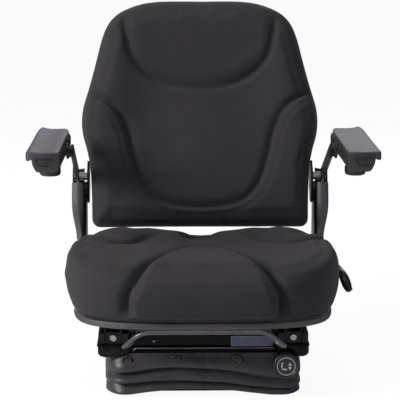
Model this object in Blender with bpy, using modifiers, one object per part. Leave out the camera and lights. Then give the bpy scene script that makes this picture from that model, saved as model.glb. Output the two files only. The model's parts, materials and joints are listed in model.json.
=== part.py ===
"""Suspension seat for a tractor: low scissor suspension, slide rails, seat and backrest with armrests.

Metres, +Z up. The seat faces -Y. The origin is the middle of the base's underside.
"""

import math

import bmesh
import bpy
from mathutils import Matrix, Vector

# Clearances
GAP = 0.0003
RUN = 0.0006
ROD_PLAY = 0.0025

# Suspension
STROKE = 0.034
SHEET = 0.003
WALL = 0.0025
BASE_HALF = 0.130
BASE_FRONT = -0.140
BASE_REAR = 0.145
BASE_WALL_HEIGHT = 0.028
TOP_PLATE_Z = 0.090
TOP_HALF = BASE_HALF + 0.060
TOP_WALL_DROP = 0.027
TOP_FRONT = -0.166
TOP_REAR = 0.165
TRAY_PLAY = 0.004
ARM_LENGTH = 0.250
ARM_SHEET = 0.005
ARM_WIDTH = 0.018
ARM_REAR_Y = 0.120
SHAFT_RADIUS = 0.005
ROLLER_RADIUS = 0.0115
ROLLER_WIDTH = 0.007
PIN_RADIUS = 0.004
LAYER_PLAY = 0.001

# Damper
DAMPER_FRONT = Vector((0.0, -0.095, 0.020))
DAMPER_REAR = Vector((0.0, 0.085, 0.072))
DAMPER_RADIUS = 0.013
DAMPER_WALL = 0.003
DAMPER_TUBE_LENGTH = 0.108
DAMPER_ROD_RADIUS = 0.0045
DAMPER_EYE_RADIUS = 0.009
DAMPER_EYE_WIDTH = 0.014

# Springs and weight setting
SPRING_X = 0.060
SPRING_Y = -0.065
SPRING_RADIUS = 0.020
SPRING_WIRE = 0.0022
SPRING_TURNS = 6
TURN_STEPS = 6
CAM_SHAFT_RADIUS = 0.0035
CAM_RADIUS = 0.0055
CUP_DEPTH = 0.005
SPINDLE_RADIUS = 0.005
SPINDLE_X = BASE_HALF + 0.016
SPINDLE_Z = 0.0630
KNOB_RADIUS = 0.0245
KNOB_FRONT = -0.2065
KNOB_BACK = -0.1850
HOUSING_FRONT = -0.090
HOUSING_REAR = -0.045

# Rubber buffers and boot
BUFFER_X = 0.060
BUFFER_Y = 0.060
BUFFER_RADIUS = 0.013
BOOT_TOP_Z = 0.0800
BOOT_HALF = TOP_HALF - 0.010
BOOT_FRONT = -0.176
BOOT_REAR = 0.176
BOOT_WALL = 0.0018
BOOT_ARCH = 0.013
BOOT_CORNER = 0.034
FLANGE_OVERLAP = 0.0035
FLANGE_INSET = 0.009
FLANGE_END_Y = 0.132
CLIP_XS = (-0.137, -0.051, 0.059)
CLIP_RADIUS = 0.0055

# Slide rails
RAIL_X = SPINDLE_X + 0.0145
RAIL_HALF_LENGTH = 0.170
RAIL_HALF = 0.0265
RAIL_WALL = 0.0025
RAIL_HEIGHT = 0.0225
RAIL_LIP = 0.0085
SLIDER_HALF = 0.0155
SLIDER_TOP_Z = 0.1335
STOP_DEPTH = 0.020
RAIL_BOLT_RADIUS = 0.0065
RISER_FRONT = -0.150
RISER_REAR = -0.118
CAP_DEPTH = 0.004
CAP_LOW_Z = 0.0815

# Release bar
BAR_RADIUS = 0.0048
BAR_PIVOT_Y = -0.100
BAR_PIVOT_Z = 0.1228
BAR_LEG_X = RAIL_X - 0.0385
BAR_LEG_Y = -0.2520
BAR_LEG_Z = 0.1215
BAR_LOW_X = RAIL_X - 0.0145
BAR_LOW_Y = -0.2620
BAR_LOW_Z = 0.1105
BAR_GRIP_X = RAIL_X - 0.0445
BAR_GRIP_Y = -0.2760
BAR_GRIP_Z = 0.1430

# Seat pan and cushion
PAN_BOTTOM_Z = 0.1370
PAN_RIM_Z = 0.1565
PAN_SHEET = 0.0018
SEAT_HALF_FRONT = 0.226
SEAT_HALF_MIDDLE = 0.232
SEAT_HALF_REAR = 0.196
SEAT_FRONT = -0.243
SEAT_REAR = 0.122
CUSHION_HALF = 0.250
CUSHION_WIDEST_Z = 0.212
CUSHION_SIDE_Z = 0.246
CUSHION_HOLLOW_Z = 0.2385
ARCH_SEAM = ((-0.400, 0.134), (-0.235, 0.131), (-0.195, 0.116), (-0.158, 0.100), (-0.118, 0.076), (-0.080, 0.044),
             (-0.064, 0.0), (0.500, -0.500))

# Backrest, in its own leaning frame: up along the back, depth to the rear
HINGE_Y = 0.165
HINGE_Z = 0.310
LEAN = math.radians(14.0)
BACK_LOW = -0.070
BACK_HIGH = 0.372
BACK_WIDTHS = ((-0.070, 0.201), (-0.062, 0.2085), (0.040, 0.2115), (0.082, 0.2170), (0.108, 0.2255),
               (0.134, 0.2290), (0.164, 0.2235), (0.200, 0.2085), (0.250, 0.1955), (0.300, 0.1868),
               (0.330, 0.1740), (0.350, 0.1535), (0.364, 0.1210), (0.3705, 0.0900), (0.372, 0.0400))
BACK_HALF = 0.229
WING_SEAM = ((-0.033, 0.0), (-0.027, 0.056), (-0.012, 0.092), (0.018, 0.116), (0.064, 0.132), (0.112, 0.143),
             (0.152, 0.160), (0.174, 0.184), (0.186, 0.206), (0.192, 0.232), (0.198, 0.400))
HEAD_SEAM = ((0.0, 0.198), (0.050, 0.203), (0.086, 0.216), (0.114, 0.236), (0.134, 0.262), (0.143, 0.300),
             (0.148, 0.352), (0.150, 0.500))
BACK_FRONT = -0.052
BACK_SEAM = 0.0195
BACK_SHELL_DEPTH = 0.022
BACK_SHEET = 0.0025
PLATE_SHEET = 0.004
BRACKET_X = 0.2195
SIDE_PLATE_X = 0.2145
HINGE_EAR = 0.022

# Armrests
ARM_PIVOT_Y = 0.160
ARM_PIVOT_Z = 0.343
ARM_PLATE_X = 0.2345
ARM_PLATE_HALF = 0.013
COVER_OUTER_X = 0.2475
COVER_SHEET = 0.0025
REST_X = 0.2755
REST_HALF = 0.030
REST_OVERHANG = 0.010
REST_FRONT = -0.205
REST_REAR = 0.098
REST_TOP_Z = 0.4480
REST_BOTTOM_Z = 0.4110
REST_SEAM_Z = 0.4360
TILT_Y = -0.030
TILT_Z = 0.4220
TILT_BOSS_RADIUS = 0.0115
WHEEL_Y = -0.120
WHEEL_RADIUS = 0.019
WHEEL_HEIGHT = 0.018

# Recline lever
LEVER_Y = 0.140
LEVER_Z = 0.190
LEVER_RADIUS = 0.0042

ROUND = 12
SIDES = {"left": -1, "right": 1}

PARTS = "tractor_suspension_seat"
CUTTERS = "cutting_bodies"


def clear_scene():
    """Remove every object, so that the script starts from nothing."""
    for item in list(bpy.data.objects):
        bpy.data.objects.remove(item, do_unlink=True)


def make_group(name):
    """Return a new collection of the scene."""
    group = bpy.data.collections.new(name)
    bpy.context.scene.collection.children.link(group)
    return group


clear_scene()
parts = make_group(PARTS)
cutters = make_group(CUTTERS)


def finish(name, colour, roughness, metallic=0.0):
    """Return a Principled material."""
    material = bpy.data.materials.new(name)
    material.use_nodes = True
    shader = material.node_tree.nodes["Principled BSDF"]
    shader.inputs["Base Color"].default_value = (*colour, 1.0)
    shader.inputs["Roughness"].default_value = roughness
    shader.inputs["Metallic"].default_value = metallic
    material.diffuse_color = (*colour, 1.0)
    return material


BLACK_STEEL = finish("black_coated_steel", (0.018, 0.018, 0.020), 0.42)
GLOSS_STEEL = finish("gloss_black_steel", (0.010, 0.010, 0.012), 0.22)
ZINC = finish("zinc_plated_steel", (0.52, 0.52, 0.50), 0.34, 1.0)
SPRING_STEEL = finish("spring_steel", (0.09, 0.09, 0.10), 0.40, 1.0)
RUBBER = finish("black_rubber", (0.014, 0.014, 0.015), 0.62)
PLASTIC = finish("black_moulded_plastic", (0.017, 0.017, 0.018), 0.50)
FOAM_SKIN = finish("polyurethane_skin", (0.030, 0.029, 0.032), 0.48)
CLOTH = finish("black_knitted_cloth", (0.022, 0.021, 0.022), 0.90)
NYLON = finish("white_nylon", (0.72, 0.72, 0.70), 0.50)


def pivot(name, place, turn=None):
    """Return an empty on a joint's axis."""
    empty = bpy.data.objects.new(name, None)
    empty.empty_display_size = 0.03
    matrix = Matrix.Translation(place)
    if turn is not None:
        matrix = matrix @ turn
    empty.matrix_world = matrix
    parts.objects.link(empty)
    return empty


def add_part(name, mesh, material, carrier=None, local=False):
    """Link a mesh as a part. A carrier is the empty on its axis, and local says whose frame it has."""
    mesh.materials.clear()
    mesh.materials.append(material)
    mesh.set_sharp_from_angle(angle=math.radians(35))
    item = bpy.data.objects.new(name, mesh)
    parts.objects.link(item)
    if carrier is not None:
        if not local:
            mesh.transform(carrier.matrix_basis.inverted())
        item.parent = carrier
    for face in mesh.polygons:
        face.use_smooth = True
    return item


def add_cutter(name, mesh, carrier=None, local=False):
    """Link a mesh as a cutting body that is not part of the seat."""
    item = bpy.data.objects.new(name, mesh)
    cutters.objects.link(item)
    if carrier is not None:
        if not local:
            mesh.transform(carrier.matrix_basis.inverted())
        item.parent = carrier
    item.hide_render = True
    item.display_type = "WIRE"
    return item


def boolean(item, other, operation):
    """Cut another body out of an object, or join it on."""
    change = item.modifiers.new(operation.lower() + "_" + other.name, "BOOLEAN")
    change.operation = operation
    change.solver = "EXACT"
    change.object = other


def bevel(item, width, segments=1, angle=40):
    """Round the edges that are sharper than an angle."""
    change = item.modifiers.new("edge_radius", "BEVEL")
    change.width = width
    change.segments = segments
    change.limit_method = "ANGLE"
    change.angle_limit = math.radians(angle)
    return change


def mesh_from(build, name):
    """Return the mesh of a bmesh that is consistently wound outwards."""
    bmesh.ops.recalc_face_normals(build, faces=build.faces)
    mesh = bpy.data.meshes.new(name)
    build.to_mesh(mesh)
    build.free()
    return mesh


def box_mesh(name, low, high):
    """Return a box between two corners."""
    low, high = Vector(low), Vector(high)
    build = bmesh.new()
    bmesh.ops.create_cube(build, size=1.0)
    size = high - low
    bmesh.ops.scale(build, vec=size, verts=build.verts)
    bmesh.ops.translate(build, vec=(low + high) / 2, verts=build.verts)
    return mesh_from(build, name)


def rod_mesh(name, start, end, radius, end_radius=None, segments=ROUND):
    """Return a round bar between two points."""
    start, end = Vector(start), Vector(end)
    build = bmesh.new()
    bmesh.ops.create_cone(
        build,
        cap_ends=True,
        segments=segments,
        radius1=radius,
        radius2=radius if end_radius is None else end_radius,
        depth=(end - start).length,
    )
    turn = (end - start).to_track_quat("Z", "Y").to_matrix().to_4x4()
    bmesh.ops.transform(build, matrix=Matrix.Translation((start + end) / 2) @ turn, verts=build.verts)
    return mesh_from(build, name)


def evaluated_mesh(item):
    """Return an object's evaluated mesh in world space, welded, and remove the object."""
    bpy.context.view_layer.update()
    graph = bpy.context.evaluated_depsgraph_get()
    mesh = bpy.data.meshes.new_from_object(item.evaluated_get(graph))
    mesh.transform(item.matrix_world)
    bpy.data.objects.remove(item, do_unlink=True)
    build = bmesh.new()
    build.from_mesh(mesh)
    bmesh.ops.remove_doubles(build, verts=build.verts, dist=0.000002)
    return mesh_from(build, mesh.name)


# Local X and Y of an outline become these world axes, and its thickness runs along the third
PLANES = {
    "YZ": Matrix(((0, 0, 1, 0), (1, 0, 0, 0), (0, 1, 0, 0), (0, 0, 0, 1))),
    "XZ": Matrix(((1, 0, 0, 0), (0, 0, -1, 0), (0, 1, 0, 0), (0, 0, 0, 1))),
    "XY": Matrix.Identity(4),
}


def plate_mesh(name, loops, plane, low, high):
    """Return a flat plate: closed outlines in a plane, its thickness from low to high across it."""
    curve = bpy.data.curves.new(name, "CURVE")
    curve.dimensions = "2D"
    curve.fill_mode = "BOTH"
    curve.extrude = (high - low) / 2
    for points in loops:
        spline = curve.splines.new("POLY")
        spline.points.add(len(points) - 1)
        for point, (across, along) in zip(spline.points, points):
            point.co = (across, along, 0.0, 1.0)
        spline.use_cyclic_u = True
    item = bpy.data.objects.new(name, curve)
    bpy.context.scene.collection.objects.link(item)
    middle = (low + high) / 2
    shift = {"YZ": (middle, 0, 0), "XZ": (0, middle, 0), "XY": (0, 0, middle)}[plane]
    item.matrix_world = Matrix.Translation(shift) @ PLANES[plane]
    return evaluated_mesh(item)


def wire_mesh(name, points, radius, resolution=2, radii=None):
    """Return a round wire or tube along a list of points."""
    curve = bpy.data.curves.new(name, "CURVE")
    curve.dimensions = "3D"
    curve.bevel_depth = radius
    curve.bevel_resolution = resolution
    curve.use_fill_caps = True
    spline = curve.splines.new("POLY")
    spline.points.add(len(points) - 1)
    for index, place in enumerate(points):
        spline.points[index].co = (*place, 1.0)
        spline.points[index].radius = radii[index] if radii else 1.0
    item = bpy.data.objects.new(name, curve)
    bpy.context.scene.collection.objects.link(item)
    return evaluated_mesh(item)


def turned_mesh(name, profile, place, axis, closed=False, segments=ROUND):
    """Return a turned body. The profile is (radius, height) pairs, down the outer side."""
    build = bmesh.new()
    points = [build.verts.new((radius, 0.0, height)) for radius, height in profile]
    for first, second in zip(points, points[1:]):
        build.edges.new((first, second))
    if closed:
        build.edges.new((points[-1], points[0]))
    mesh = bpy.data.meshes.new(name)
    build.to_mesh(mesh)
    build.free()
    item = bpy.data.objects.new(name, mesh)
    bpy.context.scene.collection.objects.link(item)
    screw = item.modifiers.new("turn", "SCREW")
    screw.axis = "Z"
    screw.steps = segments
    screw.render_steps = segments
    screw.use_merge_vertices = True
    screw.merge_threshold = 0.000005
    turn = Vector(axis).to_track_quat("Z", "Y").to_matrix().to_4x4()
    item.matrix_world = Matrix.Translation(place) @ turn
    return evaluated_mesh(item)


def arc(centre, radius, start, end, steps):
    """Return points on an arc in a plane, with angles in degrees."""
    points = []
    for index in range(steps + 1):
        angle = math.radians(start + (end - start) * index / steps)
        points.append((centre[0] + radius * math.cos(angle), centre[1] + radius * math.sin(angle)))
    return points


def circle(centre, radius, steps=ROUND):
    """Return the points of a circle in a plane."""
    return arc(centre, radius, 0.0, 360.0, steps)[:-1]


def slot_outline(first, second, radius, end_radius=None, steps=6):
    """Return the outline round two circles, as on a link."""
    end_radius = radius if end_radius is None else end_radius
    heading = math.degrees(math.atan2(second[1] - first[1], second[0] - first[0]))
    return (arc(second, end_radius, heading - 90, heading + 90, steps)
            + arc(first, radius, heading + 90, heading + 270, steps))


def rounded(corners, radius, steps=3):
    """Return a polygon with its corners rounded."""
    points = []
    count = len(corners)
    for index, corner in enumerate(corners):
        here = Vector(corner)
        before = Vector(corners[index - 1]) - here
        after = Vector(corners[(index + 1) % count]) - here
        reach = min(radius, before.length * 0.45, after.length * 0.45)
        start = here + before.normalized() * reach
        end = here + after.normalized() * reach
        for step in range(steps + 1):
            share = step / steps
            place = start * (1 - share) ** 2 + here * 2 * share * (1 - share) + end * share ** 2
            points.append((place.x, place.y))
    return points


def ring_mesh(name, rings, closed_ends=(True, True)):
    """Return the skin over rings of points, each ring with the same number of points."""
    build = bmesh.new()
    rows = [[build.verts.new(point) for point in ring] for ring in rings]
    count = len(rows[0])
    for lower, upper in zip(rows, rows[1:]):
        for index in range(count):
            after = (index + 1) % count
            build.faces.new((lower[index], lower[after], upper[after], upper[index]))
    if closed_ends[0]:
        build.faces.new(reversed(rows[0]))
    if closed_ends[1]:
        build.faces.new(rows[-1])
    return mesh_from(build, name)


def mirrored(mesh, side):
    """Return a copy of a right-hand mesh for a side."""
    copy = mesh.copy()
    if side < 0:
        copy.transform(Matrix.Diagonal((-1, 1, 1, 1)))
        copy.flip_normals()
    return copy


# Places that follow from the sizes above
LOW_Z = SHEET + RUN + ROLLER_RADIUS
HIGH_Z = TOP_PLATE_Z - RUN - ROLLER_RADIUS
ARM_ANGLE = math.asin((HIGH_Z - LOW_Z) / ARM_LENGTH)
ARM_FRONT_Y = ARM_REAR_Y - ARM_LENGTH * math.cos(ARM_ANGLE)
ARM_MIDDLE = ((ARM_REAR_Y + ARM_FRONT_Y) / 2, (LOW_Z + HIGH_Z) / 2)
OUTER_ROLLER_X = BASE_HALF - WALL - LAYER_PLAY
OUTER_ARM_X = OUTER_ROLLER_X - ROLLER_WIDTH - LAYER_PLAY
INNER_ARM_X = OUTER_ARM_X - ARM_SHEET - LAYER_PLAY
INNER_ROLLER_X = INNER_ARM_X - ARM_SHEET - LAYER_PLAY
TOP_WALL_X = BASE_HALF + TRAY_PLAY + WALL
TOP_PLATE_TOP = TOP_PLATE_Z + SHEET
CAM_Z = TOP_PLATE_Z - CAM_RADIUS - LAYER_PLAY
CUP_TOP = CAM_Z - CAM_RADIUS - GAP
CUP_SHEET = 0.0015
CUP_RADIUS = SPRING_RADIUS + SPRING_WIRE + CUP_SHEET + RUN
RAIL_BOTTOM_Z = TOP_PLATE_TOP + GAP
RAIL_TOP_Z = RAIL_BOTTOM_Z + RAIL_HEIGHT
FRONT_PLATE_Y = TOP_FRONT - GAP - WALL
TAB_INNER = DAMPER_EYE_WIDTH / 2 + RUN
TAB_OUTER = TAB_INNER + SHEET
TAB_RADIUS = 0.008


def tab_pair(name, place, reach_z, carrier):
    """Return cutting-list bodies for two lugs that hold a damper eye."""
    lugs = []
    y, z = place[1], place[2]
    for side in (-1, 1):
        loop = slot_outline((y, reach_z), (y, z), TAB_RADIUS)
        low, high = sorted((side * TAB_INNER, side * TAB_OUTER))
        mesh = plate_mesh(name, [loop, circle((y, z), PIN_RADIUS + GAP)], "YZ", low, high)
        lugs.append(add_cutter(f"{name}_{'left' if side < 0 else 'right'}", mesh, carrier))
    return lugs


def cross_cutter(name, y, z, radius, half_length, carrier=None):
    """Return a round cutting body that runs across the seat."""
    return add_cutter(name, rod_mesh(name, (-half_length, y, z), (half_length, y, z), radius), carrier)


def build_base():
    """The base tray, with the lugs of the damper and the fixing slots."""
    inner = BASE_HALF - WALL
    outline = [(-BASE_HALF, 0), (BASE_HALF, 0), (BASE_HALF, BASE_WALL_HEIGHT), (inner, BASE_WALL_HEIGHT),
               (inner, SHEET), (-inner, SHEET), (-inner, BASE_WALL_HEIGHT), (-BASE_HALF, BASE_WALL_HEIGHT)]
    tray = add_part("base_tray", plate_mesh("base_tray", [outline], "XZ", BASE_FRONT, BASE_REAR), BLACK_STEEL)
    boolean(tray, cross_cutter("base_pivot_hole", ARM_REAR_Y, LOW_Z, SHAFT_RADIUS + GAP, BASE_HALF + WALL),
            "DIFFERENCE")
    foot = SHEET / 2 + TAB_RADIUS
    for lug in tab_pair("damper_front_lug", DAMPER_FRONT, foot, None):
        boolean(tray, lug, "UNION")
    slot_half = 0.005
    slot_radius = 0.0045
    slot_x = BASE_HALF - 0.055
    for index, y in enumerate((BASE_FRONT + 0.022, BASE_REAR - 0.045)):
        for side in (-1, 1):
            loop = slot_outline((side * slot_x, y - slot_half), (side * slot_x, y + slot_half), slot_radius)
            mesh = plate_mesh("fixing_slot", [loop], "XY", -SHEET, 2 * SHEET)
            boolean(tray, add_cutter(f"fixing_slot_{index}_{side}", mesh), "DIFFERENCE")
    for name, side in SIDES.items():
        buffer_height = TOP_PLATE_Z - STROKE - SHEET - 2 * GAP
        profile = [(0, buffer_height), (0.006, buffer_height), (0.009, buffer_height - 0.003),
                   (0.0085, buffer_height * 0.62), (0.0105, buffer_height * 0.5), (0.0095, buffer_height * 0.35),
                   (BUFFER_RADIUS, buffer_height * 0.2), (BUFFER_RADIUS, 0), (0, 0)]
        place = (side * BUFFER_X, BUFFER_Y, SHEET + GAP)
        add_part(f"rubber_buffer_{name}", turned_mesh("rubber_buffer", profile, place, (0, 0, 1), segments=12),
                 RUBBER)
    return tray


def scissor_frame(name, carrier, plate_x, slope, shafts, hole):
    """A pair of scissor plates welded to their cross shafts."""
    low_end, high_end = (LOW_Z, HIGH_Z) if slope > 0 else (HIGH_Z, LOW_Z)
    rear, front = (ARM_REAR_Y, low_end), (ARM_FRONT_Y, high_end)
    shaft_meshes = []
    for (y, z), half in shafts:
        shaft_meshes.append(rod_mesh(name, (-half, y, z), (half, y, z), SHAFT_RADIUS))
    frame = add_part(name, shaft_meshes[0], BLACK_STEEL, carrier)
    for side in (-1, 1):
        loops = [slot_outline(rear, front, ARM_WIDTH / 2), circle(ARM_MIDDLE, hole, 12)]
        low, high = sorted((side * plate_x, side * (plate_x - ARM_SHEET)))
        mesh = plate_mesh(f"{name}_plate", loops, "YZ", low, high)
        boolean(frame, add_cutter(f"{name}_plate_{side}", mesh, carrier), "UNION")
    boolean(frame, add_cutter(f"{name}_front_shaft", shaft_meshes[1], carrier), "UNION")
    return frame


def build_scissors():
    """The two crossed frames, their centre pins and the rollers."""
    outer_pivot = pivot("outer_scissor_axis", (0, ARM_REAR_Y, LOW_Z))
    inner_pivot = pivot("inner_scissor_axis", (0, ARM_REAR_Y, HIGH_Z))
    scissor_frame("outer_scissor_frame", outer_pivot, OUTER_ARM_X, 1,
                  [((ARM_REAR_Y, LOW_Z), BASE_HALF + LAYER_PLAY), ((ARM_FRONT_Y, HIGH_Z), OUTER_ROLLER_X)],
                  PIN_RADIUS + GAP)
    inner_half = INNER_ARM_X - GAP
    scissor_frame("inner_scissor_frame", inner_pivot, INNER_ARM_X, -1,
                  [((ARM_REAR_Y, HIGH_Z), TOP_WALL_X + LAYER_PLAY), ((ARM_FRONT_Y, LOW_Z), inner_half)],
                  PIN_RADIUS + GAP + RUN)
    roller = [(SHAFT_RADIUS + GAP, ROLLER_WIDTH), (ROLLER_RADIUS - GAP, ROLLER_WIDTH),
              (ROLLER_RADIUS, ROLLER_WIDTH * 0.8), (ROLLER_RADIUS, ROLLER_WIDTH * 0.2),
              (ROLLER_RADIUS - GAP, 0), (SHAFT_RADIUS + GAP, 0)]
    head = 0.0065
    for name, side in SIDES.items():
        for level, plane_x, z in (("upper", OUTER_ROLLER_X, HIGH_Z), ("lower", INNER_ROLLER_X, LOW_Z)):
            axis = pivot(f"{level}_roller_axis_{name}", (side * plane_x, ARM_FRONT_Y, z))
            place = (side * (plane_x - ROLLER_WIDTH), ARM_FRONT_Y, z)
            mesh = turned_mesh("roller", roller, place, (side, 0, 0), closed=True)
            add_part(f"{level}_roller_{name}", mesh, NYLON, axis)
        inner_x = INNER_ARM_X - ARM_SHEET - GAP
        length = OUTER_ARM_X + GAP - inner_x
        profile = [(0, length + 0.0015), (head - 0.001, length + 0.0015), (head, length + 0.001), (head, length),
                   (PIN_RADIUS, length), (PIN_RADIUS, 0), (head, 0), (head, -0.0015), (0, -0.0015)]
        mesh = turned_mesh("centre_pin", profile, (side * inner_x, *ARM_MIDDLE), (side, 0, 0), segments=12)
        add_part(f"centre_pin_{name}", mesh, ZINC, outer_pivot)


def build_upper_frame():
    """The inverted upper tray that carries the rails, and the glossy plate across its front."""
    wall_in = TOP_WALL_X - WALL
    wall_low = TOP_PLATE_Z - TOP_WALL_DROP
    top = box_mesh("upper_frame", (-TOP_HALF, TOP_FRONT, TOP_PLATE_Z), (TOP_HALF, TOP_REAR, TOP_PLATE_TOP))
    frame = add_part("upper_frame", top, BLACK_STEEL)
    for name, side in SIDES.items():
        low, high = sorted((side * wall_in, side * TOP_WALL_X))
        wall = box_mesh("upper_wall", (low, TOP_FRONT + WALL, wall_low),
                        (high, TOP_REAR - WALL, TOP_PLATE_Z + WALL / 2))
        boolean(frame, add_cutter(f"upper_wall_{name}", wall), "UNION")
    low, high = BOOT_TOP_Z - FLANGE_OVERLAP, TOP_PLATE_Z + WALL / 2
    flange_x, end_x, end_y = BOOT_HALF - FLANGE_INSET, BOOT_HALF - BOOT_CORNER, FLANGE_END_Y
    flanges = [((-end_x, TOP_FRONT, low), (end_x, TOP_FRONT + WALL, high)),
               ((-end_x, TOP_REAR - WALL, low), (end_x, TOP_REAR, high))]
    flanges += [((side * flange_x - WALL / 2, -end_y, low), (side * flange_x + WALL / 2, end_y, high))
                for side in SIDES.values()]
    for index, (first, last) in enumerate(flanges):
        boolean(frame, add_cutter(f"boot_flange_{index}", box_mesh("boot_flange", first, last)), "UNION")
    reach = TOP_WALL_X + SHEET
    hole = cross_cutter("upper_pivot_hole", ARM_REAR_Y, HIGH_Z, SHAFT_RADIUS + GAP, reach)
    boolean(frame, hole, "DIFFERENCE")
    boolean(frame, cross_cutter("camshaft_hole", SPRING_Y, CAM_Z, CAM_SHAFT_RADIUS + GAP, reach), "DIFFERENCE")
    for lug in tab_pair("damper_rear_lug", DAMPER_REAR, TOP_PLATE_Z + SHEET / 2 - TAB_RADIUS, None):
        boolean(frame, lug, "UNION")
    back = FRONT_PLATE_Y + WALL
    nose = 0.003
    top = RAIL_TOP_Z - 0.002
    nose_z = (0.0825, 0.0850, 0.0905, 0.0930)
    skirt = BOOT_TOP_Z - 0.022
    outline = [(FRONT_PLATE_Y, skirt), (back, skirt), (back, top - WALL), (back + 0.014, top - WALL),
               (back + 0.014, top), (FRONT_PLATE_Y + 0.001, top), (FRONT_PLATE_Y, top - 0.001),
               (FRONT_PLATE_Y, nose_z[3]), (FRONT_PLATE_Y - nose, nose_z[2]), (FRONT_PLATE_Y - nose, nose_z[1]),
               (FRONT_PLATE_Y, nose_z[0])]
    plate_half = RAIL_X - RAIL_HALF - 0.004
    mesh = plate_mesh("front_cross_plate", [outline], "YZ", -plate_half, plate_half)
    plate = add_part("front_cross_plate", mesh, GLOSS_STEEL)
    return frame, plate


def damper_frame(name, place):
    """Return the empty of a damper eye and the damper's heading."""
    return pivot(name, place), (DAMPER_REAR - DAMPER_FRONT).normalized()


def build_damper():
    """The damper tube on the base, its rod on the upper frame, and their pins."""
    front_axis, heading = damper_frame("damper_tube_axis", DAMPER_FRONT)
    rear_axis, _ = damper_frame("damper_rod_axis", DAMPER_REAR)
    start = DAMPER_EYE_RADIUS + 0.005
    end = start + DAMPER_TUBE_LENGTH
    bore = DAMPER_RADIUS - DAMPER_WALL
    mouth = DAMPER_ROD_RADIUS + ROD_PLAY
    profile = [(0, start + 0.006), (bore, start + 0.006), (bore, end - 0.004), (mouth, end - 0.004), (mouth, end),
               (DAMPER_RADIUS - 0.001, end), (DAMPER_RADIUS, end - 0.001), (DAMPER_RADIUS, start + 0.001),
               (DAMPER_RADIUS - 0.001, start), (0, start)]
    tube = add_part("damper_tube", turned_mesh("damper_tube", profile, DAMPER_FRONT, heading), BLACK_STEEL,
                    front_axis)
    length = (DAMPER_REAR - DAMPER_FRONT).length
    rod_start = start + 0.041
    piston = bore - ROD_PLAY * 0.6
    rod_end = length - DAMPER_EYE_RADIUS * 0.5
    profile = [(0, rod_end), (DAMPER_ROD_RADIUS, rod_end), (DAMPER_ROD_RADIUS, rod_start + 0.01),
               (piston, rod_start + 0.01), (piston, rod_start), (0, rod_start)]
    rod = add_part("damper_rod", turned_mesh("damper_rod", profile, DAMPER_FRONT, heading, segments=12), ZINC,
                   rear_axis)
    half = DAMPER_EYE_WIDTH / 2
    neck = rod_mesh("damper_neck", DAMPER_FRONT + heading * 0.002, DAMPER_FRONT + heading * (start + 0.003),
                    DAMPER_ROD_RADIUS * 1.3, segments=12)
    boolean(tube, add_cutter("damper_neck", neck, front_axis), "UNION")
    for piece, place, axis in ((tube, DAMPER_FRONT, front_axis), (rod, DAMPER_REAR, rear_axis)):
        label = piece.name
        eye = rod_mesh(label, place - Vector((half, 0, 0)), place + Vector((half, 0, 0)), DAMPER_EYE_RADIUS)
        boolean(piece, add_cutter(f"{label}_eye", eye, axis), "UNION")
        boolean(piece, cross_cutter(f"{label}_eye_hole", place[1], place[2], PIN_RADIUS + GAP, half * 2, axis),
                "DIFFERENCE")
    reach = TAB_OUTER + GAP
    head = PIN_RADIUS + 0.002
    for name, place in (("front", DAMPER_FRONT), ("rear", DAMPER_REAR)):
        profile = [(0, reach + 0.002), (head, reach + 0.002), (head, reach), (PIN_RADIUS, reach),
                   (PIN_RADIUS, -reach), (head, -reach), (head, -reach - 0.002), (0, -reach - 0.002)]
        add_part(f"damper_{name}_pin", turned_mesh("damper_pin", profile, place, (1, 0, 0), segments=12), ZINC)


def build_springs():
    """The two carrying springs, their cups and the camshaft that loads them."""
    low = SHEET + GAP + SPRING_WIRE
    high = CUP_TOP - CUP_SHEET - GAP - SPRING_WIRE
    steps = SPRING_TURNS * TURN_STEPS
    for name, side in SIDES.items():
        points = []
        for index in range(steps + 1):
            angle = side * math.tau * index / TURN_STEPS
            points.append((side * SPRING_X + SPRING_RADIUS * math.cos(angle),
                           SPRING_Y + SPRING_RADIUS * math.sin(angle), low + (high - low) * index / steps))
        add_part(f"carrying_spring_{name}", wire_mesh("carrying_spring", points, SPRING_WIRE, resolution=1),
                 SPRING_STEEL)
        inner = CUP_RADIUS - CUP_SHEET
        profile = [(0, -CUP_SHEET), (inner, -CUP_SHEET), (inner, -CUP_DEPTH), (CUP_RADIUS, -CUP_DEPTH),
                   (CUP_RADIUS, -0.001), (CUP_RADIUS - 0.001, 0), (0, 0)]
        profile.reverse()
        place = (side * SPRING_X, SPRING_Y, CUP_TOP)
        add_part(f"spring_cup_{name}", turned_mesh("spring_cup", profile, place, (0, 0, 1)), ZINC)
    axis = pivot("preload_camshaft_axis", (0, SPRING_Y, CAM_Z))
    end = SPINDLE_X
    shaft = add_part("preload_camshaft",
                     rod_mesh("preload_camshaft", (-TOP_WALL_X - LAYER_PLAY, SPRING_Y, CAM_Z),
                              (end, SPRING_Y, CAM_Z), CAM_SHAFT_RADIUS, segments=12), ZINC, axis)
    throw = 0.001
    for name, side in SIDES.items():
        middle = side * SPRING_X
        disc = rod_mesh("cam", (middle - 0.005, SPRING_Y, CAM_Z - throw), (middle + 0.005, SPRING_Y, CAM_Z - throw),
                        CAM_RADIUS - throw, segments=14)
        boolean(shaft, add_cutter(f"cam_{name}", disc, axis), "UNION")


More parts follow.
